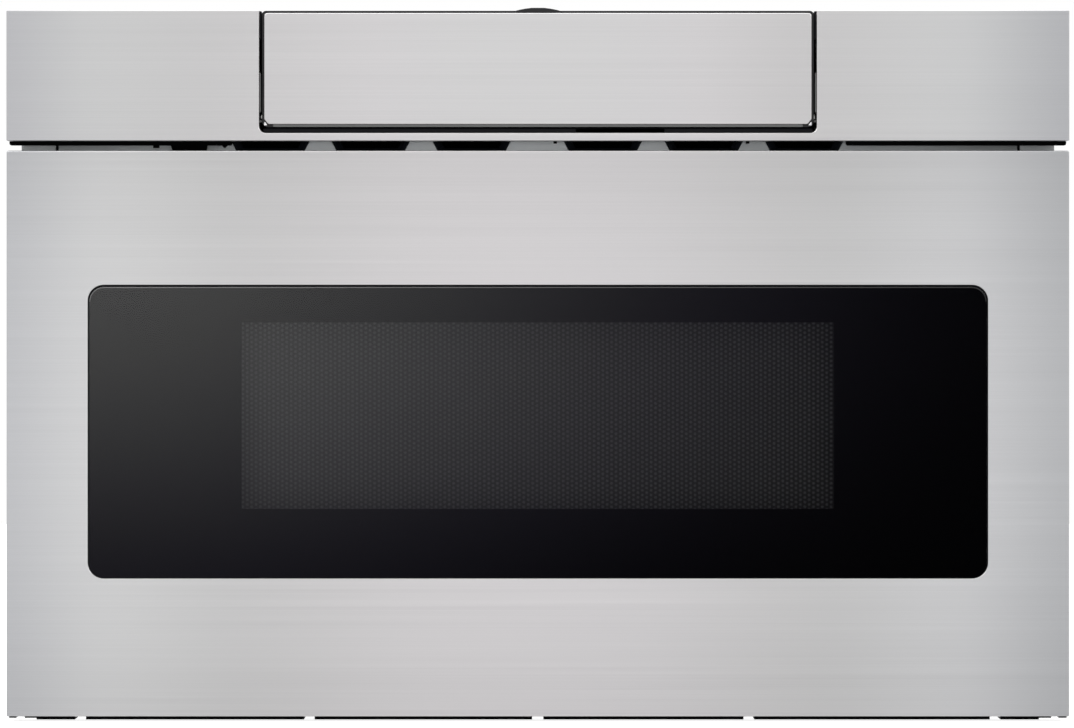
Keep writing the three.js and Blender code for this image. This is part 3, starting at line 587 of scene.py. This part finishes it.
def glass_edge_highlight():
    """A painted highlight along the pane's upper edge: a light opaque strip that follows its two upper corners,
    brighter on the left, standing in for the glint on the glass.
    """
    out = rect(-256.25, 256.25, 80.5, 247.0, 8.7, 12)
    arc = [out(i)[26:52] for i in (0.36, 0.78)]
    bm = bmesh.new()
    rings = [[bm.verts.new((x * MM, y * MM, z * MM)) for x, z in arc[k]] for k, y in ((0, -294.79), (1, -294.79), (1, -294.6), (0, -294.6))]
    for A, B in zip(rings, rings[1:] + rings[:1]):
        for i in range(len(A) - 1):
            bm.faces.new((A[i], A[i + 1], B[i + 1], B[i]))
    bm.faces.new([r[0] for r in rings])
    bm.faces.new([r[-1] for r in rings][::-1])
    return finish_mesh(bm, "window_glass_painted_highlight", "glass_edge_highlight", "drawer")


glass_edge_highlight()


def perforated_screen():
    """Sheet steel with round holes in staggered columns, one closed skin."""
    d = 21.2
    px, pz = 4.39 * PX, 4.705 * PX
    cx0, cz0, cz1 = back(X(242.84), d), Z(323.3), Z(325.66)
    r = 0.335 * pz
    ya, yb = -274.1, -273.6
    k = (DIST * 1000 + d) / (DIST * 1000)
    px, pz, r = px * k, pz * k, r * k
    cz0, cz1 = back(cz0, d, CAM_Z), back(cz1, d, CAM_Z)
    zlo, zhi = back(SZ0, d, CAM_Z) - pz, back(SZ1, d, CAM_Z) + pz
    bm = bmesh.new()
    front, rear = {}, {}

    def vert(store, x, z, y):
        q = (round(x / px * 3), round(z / pz * 4))
        if q not in store:
            store[q] = bm.verts.new((x * MM, y * MM, z * MM))
        return store[q]

    ring = [(cos(pi / 3 * j), sin(pi / 3 * j)) for j in range(6)]
    for c in range(-1, 137):
        cx = cx0 + c * px
        z = cz0 if c % 2 == 0 else cz1 - (cz1 - cz0) + pz / 2
        z -= math.floor((z - zlo) / pz) * pz
        while z < zhi:
            a, b = px * 2 / 3, px / 3
            cell = [(cx + a, z), (cx + b, z + pz / 2), (cx - b, z + pz / 2), (cx - a, z), (cx - b, z - pz / 2), (cx + b, z - pz / 2)]
            O = [vert(front, *p, ya) for p in cell]
            Q = [vert(rear, *p, yb) for p in cell]
            I = [bm.verts.new(((cx + r * u) * MM, ya * MM, (z + r * w) * MM)) for u, w in ring]
            J = [bm.verts.new(((cx + r * u) * MM, yb * MM, (z + r * w) * MM)) for u, w in ring]
            for q in range(6):
                j = (q + 1) % 6
                bm.faces.new((O[q], O[j], I[j], I[q]))
                bm.faces.new((I[q], I[j], J[j], J[q]))
                bm.faces.new((Q[j], Q[q], J[q], J[j]))
            z += pz
    inv = {v: key for key, v in front.items()}
    for e in [e for e in bm.edges if len(e.link_faces) == 1 and e.verts[0] in inv and e.verts[1] in inv]:
        a, b = e.verts
        bm.faces.new((a, b, rear[inv[b]], rear[inv[a]]))
    return finish_mesh(bm, "window_screen_perforated", "screen", "drawer", weighted=False, recalc=True)


screen = perforated_screen()
for p in screen.data.polygons:
    p.use_smooth = False
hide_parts("window_screen")
film = slab("window_film", "film", "drawer", rect(-249, 249, 88, 240, 3, 3), -273.5, -273.2, 0.1, (), 1)
screen_margin = slab("window_screen_margin", "screen", "drawer", rect(-249.4, 249.4, 87.6, 240.4, 3, 3), -273.1, -272.5, 0.15,
                     [rect(-178, 178, 113, 233, 3, 3)], 1)

# ------------------------------------------------------------------ tilting control panel
flap = formed_sheet(
    "flap_front", "stainless", "control_flap",
    edge_height(outline([(-153.8, 339.6), (153.8, 339.6), (156.2, 342.4), (156.2, 403.0), (-156.2, 403.0), (-156.2, 342.4)], [1.2, 1.2, 1.2, 2.0, 2.0, 1.2], 6), 403.0, 0.7), [],
    edge_arc(0.7, FY, 5) + [(0.0, FY + 3.8), (0.4, FY + 4.0), (0.9, FY + 3.8), (0.9, FY + 1.2), (1.1, FY + 1.0)], [])
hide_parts("flap_skin")


def flap_body():
    """The moulded tray of the flap, with its raised finger lip."""
    half = [(11.9, 404.82), (9.8, 405.29), (7.0, 405.82), (3.6, 406.24)]
    lip = half + [(-x, z) for x, z in reversed(half)]
    base = [(-157.6, 338.1), (157.6, 338.1), (157.6, 404.55), (12.7, 404.55)] + lip + [(-12.7, 404.55), (-157.6, 404.55)]
    out = outline(base, [3.2, 3.2, 2.2, 0.3] + [0.8, 5, 5, 6, 6, 5, 5, 0.8] + [0.3, 2.2], 4)
    return slab("flap_tray", "rim_plastic", "control_flap", out, -291.0, -276.6, 0.17)


tray = flap_body()
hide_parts("flap_housing")
core = slab("flap_core", "rim_plastic", "control_flap", rect(-155.0, 155.0, 340.8, 402.0, 1.6, 4), -294.1, -290.6, 0.3)
trim = slab("flap_lower_trim", "trim_plastic", "control_flap", rect(-151.3, 151.3, 338.15, 339.75, 0.7, 4), -293.4, -290.4, 0.35)
for side, s in (("left", -1), ("right", 1)):
    # Bent corner tab of the flap's steel face, and the bush the hinge rod turns in.
    tri = [(s * 156.15, 341.2), (s * 154.5, 339.0), (s * 156.05, 338.95)]
    if s > 0:
        tri = tri[::-1]
    tab = slab("flap_corner_tab_" + side, "chrome", "control_flap", outline(tri, 0.15, 3), -293.6, -292.9, 0.15, (), 2)
    x0, x1 = sorted((s * 157.75, s * 159.6))
    bush = rbox("hinge_bush_" + side, "bush", "chassis", x0, x1, -289.4, -286.4, 340.9, 342.2, 0.35)
    bm = bmesh.new()
    rings = [[bm.verts.new((s * x * MM, (-288 + r * cos(2 * pi * k / 32)) * MM, (344 + r * sin(2 * pi * k / 32)) * MM)) for k in range(32)]
             for x, r in ((158.2, 1.95), (158.35, 2.2), (158.9, 2.2), (158.98, 2.1), (158.98, 1.72), (158.2, 1.72))]
    for A, B in zip(rings, rings[1:] + rings[:1]):
        bridge(bm, A, B)
    sleeve = finish_mesh(bm, "hinge_pin_sleeve_" + side, "rubber", "chassis")

# Black rubber guide pads on the sides of the fascia's cut-out, which centre the flap as it closes; their black also
# paints the shade on the upper part of the steel return.
for side, s in (("left", -1), ("right", 1)):
    x0, x1 = sorted((s * 157.95, s * 158.98))
    pad = rbox("flap_guide_pad_and_shade_" + side, "rubber", "chassis", x0, x1, -291.2, -280.0, 388.0, 404.3, 0.15)

    x0, x1 = sorted((s * 155.4, s * 158.9))
    stop = rbox("flap_stop_" + side, "rubber", "chassis", x0, x1, -276.2, -269.5, 384.0, 404.3, 0.4)
    # Mid-grey plates lining the lower sides of the cut-out: a painted reflection, standing in for the light that the
    # steel return reflects there.
    x0, x1 = sorted((s * 158.2, s * 158.97))
    return_reflection = rbox("hinge_bracket_" + side, "return_reflection", "chassis", x0, x1, -293.9, -282.0, 346.5, 369.0, 0.2)



def flap_point(u, v, h):
    """A point of the flap's rear glass, as read by a person looking down at the open panel: u to the right, v up, h off the glass."""
    return ((u) * MM, (-273.7 + h) * MM, (371.75 - v) * MM)


def plate_solid(bm, pts, h0, h1):
    """A thin solid of the outline pts, anticlockwise in u and v."""
    A = [bm.verts.new(flap_point(u, v, h0)) for u, v in pts]
    B = [bm.verts.new(flap_point(u, v, h1)) for u, v in pts]
    for i in range(len(pts)):
        j = (i + 1) % len(pts)
        bm.faces.new((A[i], A[j], B[j], B[i]))
    bm.faces.new(B)
    bm.faces.new(A[::-1])


def segment_digit(bm, digit, u, v, w, h, t):
    """One digit of seven bars, centred at u, v."""
    on = {"0": "abcdef", "1": "bc", "2": "abged", "3": "abgcd", "4": "fgbc", "5": "afgcd", "6": "afgedc", "7": "abc", "8": "abcdefg", "9": "abcdfg"}[digit]
    g = t * 0.12
    for k in on:
        if k in "agd":
            y = {"a": h / 2, "g": 0.0, "d": -h / 2}[k] + v
            x0, x1 = u - w / 2 + g, u + w / 2 - g
            pts = [(x0, y), (x0 + t / 2, y - t / 2), (x1 - t / 2, y - t / 2), (x1, y), (x1 - t / 2, y + t / 2), (x0 + t / 2, y + t / 2)]
        else:
            x = {"b": w / 2, "c": w / 2, "e": -w / 2, "f": -w / 2}[k] + u
            y0, y1 = ((v + g, v + h / 2 - g) if k in "bf" else (v - h / 2 + g, v - g))
            pts = [(x, y0), (x + t / 2, y0 + t / 2), (x + t / 2, y1 - t / 2), (x, y1), (x - t / 2, y1 - t / 2), (x - t / 2, y0 + t / 2)]
        plate_solid(bm, pts, 0.02, 0.09)


def circle(u, v, r, n=20):
    return [(u + r * cos(2 * pi * k / n), v + r * sin(2 * pi * k / n)) for k in range(n)]


bm = bmesh.new()
for d, u in zip("1230", (-124, -108, -88, -72)):
    segment_digit(bm, d, u, 0, 8.5, 18, 2.0)
for v in (-4, 4):
    plate_solid(bm, circle(-98, v, 1.1, 12), 0.02, 0.09)
finish_mesh(bm, "display_digits", "digits", "control_flap", weighted=False)
bm = bmesh.new()
for k, d in enumerate("1234567890"):
    segment_digit(bm, d, -30 + 22 * (k % 5), 11 if k < 5 else -11, 3.4, 7.2, 0.8)
plate_solid(bm, [(102, -6), (112, 0), (102, 6)], 0.02, 0.09)
plate_solid(bm, [(130, -5), (140, -5), (140, 5), (130, 5)], 0.02, 0.09)
for u in (106, 135):
    a, b = circle(u, 0, 11.6, 40), circle(u, 0, 11.0, 40)
    R = [[bm.verts.new(flap_point(x, y, h)) for x, y in c] for c, h in ((a, 0.02), (a, 0.09), (b, 0.09), (b, 0.02))]
    for A, B in zip(R, R[1:] + R[:1]):
        bridge(bm, A, B)
for x0, x1 in ((-143, -53),):
    for pts in ([(x0, 16), (x0, 15.5), (x1, 15.5), (x1, 16)], [(x0, -15.5), (x0, -16), (x1, -16), (x1, -15.5)]):
        plate_solid(bm, pts, 0.02, 0.09)
finish_mesh(bm, "key_legends", "legend", "control_flap", weighted=False)

# Sealing strip in the gap under the flap, with the opening for the flap's wiring.
strip = slab("flap_gap_strip", "strip", "chassis", rect(-157.4, 157.4, 333.6, 337.7, 1.0, 4), -284.4, -282.9, 0.3,
             [rect(X(576, 11), X(664.5, 11), 334.4, 337.2, 0.5, 3)], 2)

# ------------------------------------------------------------------ face plate with flared vents
VENTS = [X(px, 28.5) for px in (270.4, 370.75, 471.6, 602.85, 703.85, 804.15)]


def boat(c, r=1.6):
    return outline([(c - 18.3, 323), (c + 18.3, 323), (c + 25.1, 336), (c + 25.1, 341), (c - 25.1, 341), (c - 25.1, 336)], r, 4)


slot_hole = rect(200, 214, 301.5, 314.5, 1.0, 3)
plate_path = edge_arc(0.4, -266.8, 3) + [(0.0, -265.6), (0.3, -265.3)]
hole_path = [(-0.35, -266.8), (-0.1, -266.7), (0.0, -266.45), (0.0, -265.6), (-0.2, -265.3)]
vent_plate = formed_sheet("vent_plate", "face_plate", "chassis", rect(-276, 276, 300, 386.6, 0.6, 2), [boat(c) for c in VENTS] + [slot_hole],
                          plate_path, [hole_path] * 6 + [[(-0.3, -266.8), (0, -266.5), (0, -265.6), (-0.3, -265.3)]])
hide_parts("vent_panel")


def vent_mouth(i, c):
    """Moulded mouth of the air duct behind one vent: a stepped funnel, narrowing inwards."""
    bm = bmesh.new()
    o = boat(c)
    prof = [(0.25, -266.2), (0.9, -266.25), (2.0, -264.9), (2.3, -264.9), (4.1, -262.2), (4.4, -261.9), (4.6, -255.0), (3.6, -254.9), (3.4, -261.0), (0.25, -264.9)]
    rings = [loop(bm, o(a), y) for a, y in prof]
    for A, B in zip(rings, rings[1:] + rings[:1]):
        bridge(bm, A, B)
    m = finish_mesh(bm, "vent_mouth_%d" % i, "mouth_plastic", "chassis")


for i, c in enumerate(VENTS):
    vent_mouth(i + 1, c)


def duct_louvre():
    """Fixed blades across the air duct: they let the air out and hide its inside."""
    bm = bmesh.new()
    for k in range(7):
        z = 297.9 + k * 7.45
        p = [(-244.0, z + 0.9), (-243.3, z + 0.5), (-234.9, z + 8.2), (-235.6, z + 8.7)]
        A = [bm.verts.new((-184.3 * MM, y * MM, h * MM)) for y, h in p]
        B = [bm.verts.new((184.3 * MM, y * MM, h * MM)) for y, h in p]
        bridge(bm, A, B)
        bm.faces.new(A)
        bm.faces.new(B[::-1])
    for x in (-184.7, 183.7):
        q = [bm.verts.new(((x + a) * MM, b * MM, c * MM)) for c in (298.6, 350.4) for a, b in ((0, -246), (1, -246), (1, -233), (0, -233))]
        bridge(bm, q[:4], q[4:])
        bm.faces.new(q[:4])
        bm.faces.new(q[:3:-1])
    o = finish_mesh(bm, "exhaust_duct_louvre", "black_plastic", "chassis", weighted=False)
    for f in o.data.polygons:
        f.use_smooth = False


duct_louvre()
# Dark strips in the seams between the flanges and the side panels' front edges: painted shade, standing in for the
# shadow in the seam's gap.
for side, s in (("left", -1), ("right", 1)):
    x0, x1 = sorted((s * 276.15, s * 277.5))
    seam = rbox("seam_shade_strip_" + side, "rubber", "chassis", x0, x1, -266.2, -265.2, 20, 385, 0.25)


# ------------------------------------------------------------------ outer case: top cover, screws
ROT = {"z": Matrix.Identity(3), "-z": Matrix.Rotation(radians(180), 3, "X"), "y": Matrix.Rotation(radians(-90), 3, "X"),
       "-y": Matrix.Rotation(radians(90), 3, "X"), "x": Matrix.Rotation(radians(90), 3, "Y"), "-x": Matrix.Rotation(radians(-90), 3, "Y")}


def top_sheet():
    """Top cover: a flat sheet with three pressed stiffening beads and a row of cooling slots, made with its true thickness."""
    bm = bmesh.new()
    outer = rect(-277.2, 277.2, -265, 293.7, 1.2, 3)
    beads = [rect(x - 9, x + 9, -215, 190, 8.6, 6) for x in (-150, 0, 150)]
    slots = [rect(-196 + i * 14, -192 + i * 14, 214, 258, 1.9, 4) for i in range(7)]

    def ring(pts, z):
        return [bm.verts.new((x * MM, y * MM, z * MM)) for x, y in pts]

    tops, unders = [], []
    for o, path in [(outer, [(0.35, 388.1), (0.1, 388.0), (0, 387.75), (0, 387.2), (0.3, 386.9)])] + [(s, [(-0.25, 388.1), (0, 387.9), (0, 387.1), (-0.25, 386.9)]) for s in slots]:
        rr = [ring(o(a), z) for a, z in path]
        for A, B in zip(rr, rr[1:]):
            bridge(bm, A, B)
        tops.append(rr[0])
        unders.append(rr[-1])
    for o in beads:
        up = [ring(o(a), z) for a, z in ((0, 388.1), (0.6, 388.25), (2.2, 389.3), (3.0, 389.5))]
        dn = [ring(o(a), z) for a, z in ((0.4, 386.9), (1.0, 387.1), (2.6, 388.1), (3.4, 388.3))]
        for rr in (up, dn):
            for A, B in zip(rr, rr[1:]):
                bridge(bm, A, B)
            cap(bm, [rr[-1]], (0, 0, 1))
        tops.append(up[0])
        unders.append(dn[0])
    cap(bm, tops, (0, 0, 1))
    cap(bm, unders, (0, 0, -1))
    return finish_mesh(bm, "top_cover_pressed", "galvanised_painted_shade", "chassis")


top = top_sheet()
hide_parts("top_cover")


def screws(name, body, spots, axis, r=3.5, sink=0.0, mat="screw"):
    """Pan-head screws with a cross recess, all of one group in one piece. spots are the points where each head meets the sheet."""
    rot = ROT[axis]
    bm = bmesh.new()
    n = 24
    w, L = 0.15 * r, 0.5 * r
    for spot in spots:
        c = Vector(spot) * MM - rot @ Vector((0, 0, sink * MM))
        rings = [[(f * r * cos(2 * pi * (k - 2) / n), f * r * sin(2 * pi * (k - 2) / n), h * r) for k in range(n)]
                 for f, h in ((0.96, 0.0), (1.0, 0.1), (0.95, 0.3), (0.82, 0.47), (0.64, 0.56))]
        arm = [(L, -w), (L, 0), (L, w), ((L + w) / 2, w), (w, w), (w, (L + w) / 2)]
        cross = []
        for q in range(4):
            a = q * pi / 2
            cross += [(px * cos(a) - py * sin(a), px * sin(a) + py * cos(a)) for px, py in arm]
        for k, h in ((1.0, 0.585), (0.8, 0.25)):
            rings.append([(px * k, py * k, h * r) for px, py in cross])
        V = [[bm.verts.new(c + rot @ (Vector(p) * MM)) for p in ring] for ring in rings]
        for i in range(len(V) - 1):
            if i == 4:
                V[5] = V[5][-1:] + V[5][:-1]
                V[6] = V[6][-1:] + V[6][:-1]
            bridge(bm, V[i], V[i + 1])
        bm.faces.new(V[-1])
        bm.faces.new(list(reversed(V[0])))
    o = finish_mesh(bm, name, mat, body)
    return o


screws("top_cover_screws", "chassis", [(x, y, 388.1) for x in (-268, 268) for y in (-245, -90, 80, 240)] + [(x, 284, 388.1) for x in (-200, -70, 70, 200)], "z")
for side, s in (("left", -1), ("right", 1)):
    screws("side_panel_screws_" + side, "chassis", [(s * 277.2, y, z) for y in (-90, 90, 284) for z in (28, 376)] + [(s * 277.2, y, z) for y in (-228, 122) for z in (111, 129)],
           "x" if s > 0 else "-x", 3.2)
screws("back_panel_screws", "chassis", [(x, 295.3, z) for x in (-268, 268) for z in (30, 140, 260, 376)] + [(x, 295.3, 376) for x in (-130, 0, 130)] + [(x, 295.3, 28) for x in (-110, 20, 150)] +
       [(150 + 66 * cos(a), 295.3, 240 + 66 * sin(a)) for a in (pi / 4, 3 * pi / 4, 5 * pi / 4, 7 * pi / 4)], "y", 3.2, 0.9)

# Folded hems along the upper edges of the drawer's tub.
for name, x0, x1, y0, y1 in (("left", -220, -217.2, -267.8, 157.0), ("right", 217.2, 220, -267.8, 157.0), ("back", -217.6, 217.6, 155.5, 158.3)):
    hem = rbox("tub_hem_" + name, "enamel", "drawer", x0, x1, y0, y1, 263.6, 266.4, 0.9, 4)

# ------------------------------------------------------------------ softened solids
SOFT = {
    "fascia_backing": 0.5, "door_frame": 0.35, "choke_cover": 0.8, "touch_glass": 0.5, "ceramic_floor_plate": 1.2,
    "base_plate": 0.3, "left_side_panel": 0.3, "right_side_panel": 0.3, "back_panel": 0.3,
    "mounting_flange_left": 0.35, "mounting_flange_right": 0.35, "front_frame_left": 0.4, "front_frame_right": 0.4,
    "front_frame_sill": 0.4, "cavity_ceiling": 0.3, "cavity_left_wall": 0.3, "cavity_right_wall": 0.3,
    "cavity_rear_wall": 0.3, "cavity_floor": 0.3, "waveguide": 0.5, "magnetron": 0.25, "stirrer_cover": 0.5,
    "stirrer_motor": 0.6, "hv_transformer": 1.0, "hv_capacitor": 0.8, "power_board": 0.4, "noise_filter_board": 0.4,
    "fan_motor": 0.5, "fan_shroud": 0.8, "exhaust_duct": 0.4, "oven_lamp": 0.8, "thermal_cutout": 0.3,
    "cord_inlet": 0.6, "interlock_switch": 0.6, "drawer_motor": 0.8, "slide_outer_left": 0.3, "slide_outer_right": 0.3,
    "slide_middle_left": 0.3, "slide_middle_right": 0.3, "slide_inner_left": 0.3, "slide_inner_right": 0.3,
    "stirrer_antenna": 0.25, "cooling_fan": 0.3, "drive_pinion": 0.15, "drive_rack": 0.2, "latch_hook": 0.5,
    "drawer_left_side": 0.4, "drawer_right_side": 0.4, "drawer_back": 0.4, "drawer_floor": 0.3, "flap_hinge_rod": 0.15,
    "control_board": 0.3,
}
for n, w in SOFT.items():
    soften(nodes[n], w)
for n in ("mounting_flange_left", "mounting_flange_right"):
    set_mat(nodes[n], "flange")
set_mat(nodes["flap_hinge_rod"], "plated")

# ------------------------------------------------------------------ stage: pale floor, low plinth, light
def stage_mat(name, c, e):
    m, nt, b = new_mat(name)
    b.inputs["Base Color"].default_value = (c, c, c, 1)
    b.inputs["Roughness"].default_value = 0.7
    b.inputs["Emission Color"].default_value = (1, 1, 1, 1)
    b.inputs["Emission Strength"].default_value = e
    return m


def stage_box(name, x0, x1, y0, y1, z0, z1, mat):
    bm = bmesh.new()
    bmesh.ops.create_cube(bm, size=1.0)
    for v in bm.verts:
        v.co = Vector(((x0 + x1) / 2 + v.co.x * (x1 - x0), (y0 + y1) / 2 + v.co.y * (y1 - y0), (z0 + z1) / 2 + v.co.z * (z1 - z0)))
    me = bpy.data.meshes.new(name)
    bm.to_mesh(me)
    bm.free()
    o = bpy.data.objects.new(name, me)
    sc.collection.objects.link(o)
    me.materials.append(mat)
    return o


floor = stage_box("floor", -2.6, 2.6, -2.1, 3.4, -0.05, -0.0012, stage_mat("floor_paint", 0.5, 0.85))
floor.visible_glossy = False
plinth = stage_box("plinth", -0.262, 0.262, -0.258, 0.288, -0.001, 0.0169, stage_mat("plinth_paint", 0.6, 0.4))
plinth.visible_glossy = False


def area(name, loc, target, size, power, colour=(1, 1, 1)):
    l = bpy.data.lights.new(name, "AREA")
    l.shape = "RECTANGLE"
    l.size, l.size_y = size
    l.energy = power
    l.color = colour
    o = bpy.data.objects.new(name, l)
    sc.collection.objects.link(o)
    o.location = loc
    d = Vector(target) - Vector(loc)
    o.rotation_euler = d.to_track_quat("-Z", "Y").to_euler()
    return o


area("key", (-2.0, -2.4, 2.8), (0, 0, 0.2), (2.0, 1.6), 36)
area("fill", (2.8, -1.4, 1.8), (0, 0, 0.2), (1.6, 1.6), 20)
area("top", (0.2, 0.6, 3.2), (0, 0, 0.2), (2.5, 2.5), 36)
front_soft = area("front", (0, -3.45, 0.25), (0, 0, 0.25), (0.5, 0.5), 24)
front_soft.visible_glossy = False

# World: a white room. Just behind the camera the room is in shade towards the lower right, which is what dark glass shows.
world = bpy.data.worlds.new("world")
sc.world = world
world.use_nodes = True
nt = world.node_tree
bg = nt.nodes["Background"]
out = nt.nodes["World Output"]
tc = node(nt, "ShaderNodeTexCoord")
sep = node(nt, "ShaderNodeSeparateXYZ")
nt.links.new(tc.outputs["Generated"], sep.inputs["Vector"])
dx, dy, dz = sep.outputs
ny = add(nt, add(nt, dy, -1.0, "MULTIPLY"), 0.02, "MAXIMUM")
u = add(nt, dx, ny, "DIVIDE")
v = add(nt, dz, ny, "DIVIDE")


def bell(x, mid, width):
    d = add(nt, add(nt, x, mid, "SUBTRACT"), width, "DIVIDE")
    return add(nt, add(nt, add(nt, d, d, "MULTIPLY"), -1.0, "MULTIPLY"), 0.0, "ADD")


def expo(x):
    n = node(nt, "ShaderNodeMath", operation="EXPONENT")
    nt.links.new(x, n.inputs[0])
    return n.outputs["Value"]


# A soft box stands to the upper left of the camera, and a dark screen to the lower right of it.
patch = add(nt, expo(add(nt, bell(u, -0.099, 0.0945), bell(v, 0.0291, 0.0503), "ADD")), 2.5, "MULTIPLY")
au = add(nt, u, 0.0, "ABSOLUTE")
mu = map_range(nt, au, 0.125, 0.155, 1.0, 0.0)
mv = add(nt, map_range(nt, v, -0.14, -0.10, 0.0, 1.0), map_range(nt, v, 0.035, 0.06, 1.0, 0.0), "MULTIPLY")
front = map_range(nt, dy, -0.5, -0.8, 0.0, 1.0)
mask = add(nt, add(nt, mu, mv, "MULTIPLY"), front, "MULTIPLY")
adx = add(nt, dx, 0.0, "ABSOLUTE")
top_box = add(nt, map_range(nt, dz, 0.35, 0.8, 0.0, 1.0), 0.1, "MULTIPLY")
flank = add(nt, add(nt, map_range(nt, adx, 0.7, 0.95, 0.0, 1.0), map_range(nt, dz, 0.2, 0.6, 1.0, 0.0), "MULTIPLY"), -0.3, "MULTIPLY")
low = map_range(nt, dz, -0.6, 0.0, 0.95, 1.03)
room = add(nt, add(nt, low, top_box, "ADD"), flank, "ADD")
level = node(nt, "ShaderNodeMix", data_type="FLOAT")
nt.links.new(mask, level.inputs["Factor"])
nt.links.new(room, level.inputs["A"])
nt.links.new(patch, level.inputs["B"])
tint = node(nt, "ShaderNodeValToRGB")
te = tint.color_ramp.elements
te[0].position, te[0].color = 0.0, (1, 0.92, 1.3, 1)
te[1].position, te[1].color = 1.0, (1, 1, 1, 1)
for pos, c in ((0.1, (1, 0.93, 1.3, 1)), (0.3, (1, 0.97, 1.12, 1)), (0.6, (1, 1, 1.05, 1))):
    te.new(pos).color = c
nt.links.new(map_range(nt, patch, 0.0, 1.8, 0.0, 1.0), tint.inputs["Fac"])
hue = node(nt, "ShaderNodeMix", data_type="RGBA")
nt.links.new(mask, hue.inputs["Factor"])
hue.inputs["A"].default_value = (1, 1, 1, 1)
nt.links.new(tint.outputs["Color"], hue.inputs["B"])
lp = node(nt, "ShaderNodeLightPath")
seen = node(nt, "ShaderNodeMix", data_type="FLOAT")
nt.links.new(lp.outputs["Is Camera Ray"], seen.inputs["Factor"])
nt.links.new(level.outputs["Result"], seen.inputs["A"])
seen.inputs["B"].default_value = 1.0  # the plain backdrop
nt.links.new(seen.outputs["Result"], bg.inputs["Strength"])
white = node(nt, "ShaderNodeMix", data_type="RGBA")
nt.links.new(lp.outputs["Is Camera Ray"], white.inputs["Factor"])
nt.links.new(hue.outputs["Result"], white.inputs["A"])
white.inputs["B"].default_value = (1, 1, 1, 1)
nt.links.new(white.outputs["Result"], bg.inputs["Color"])
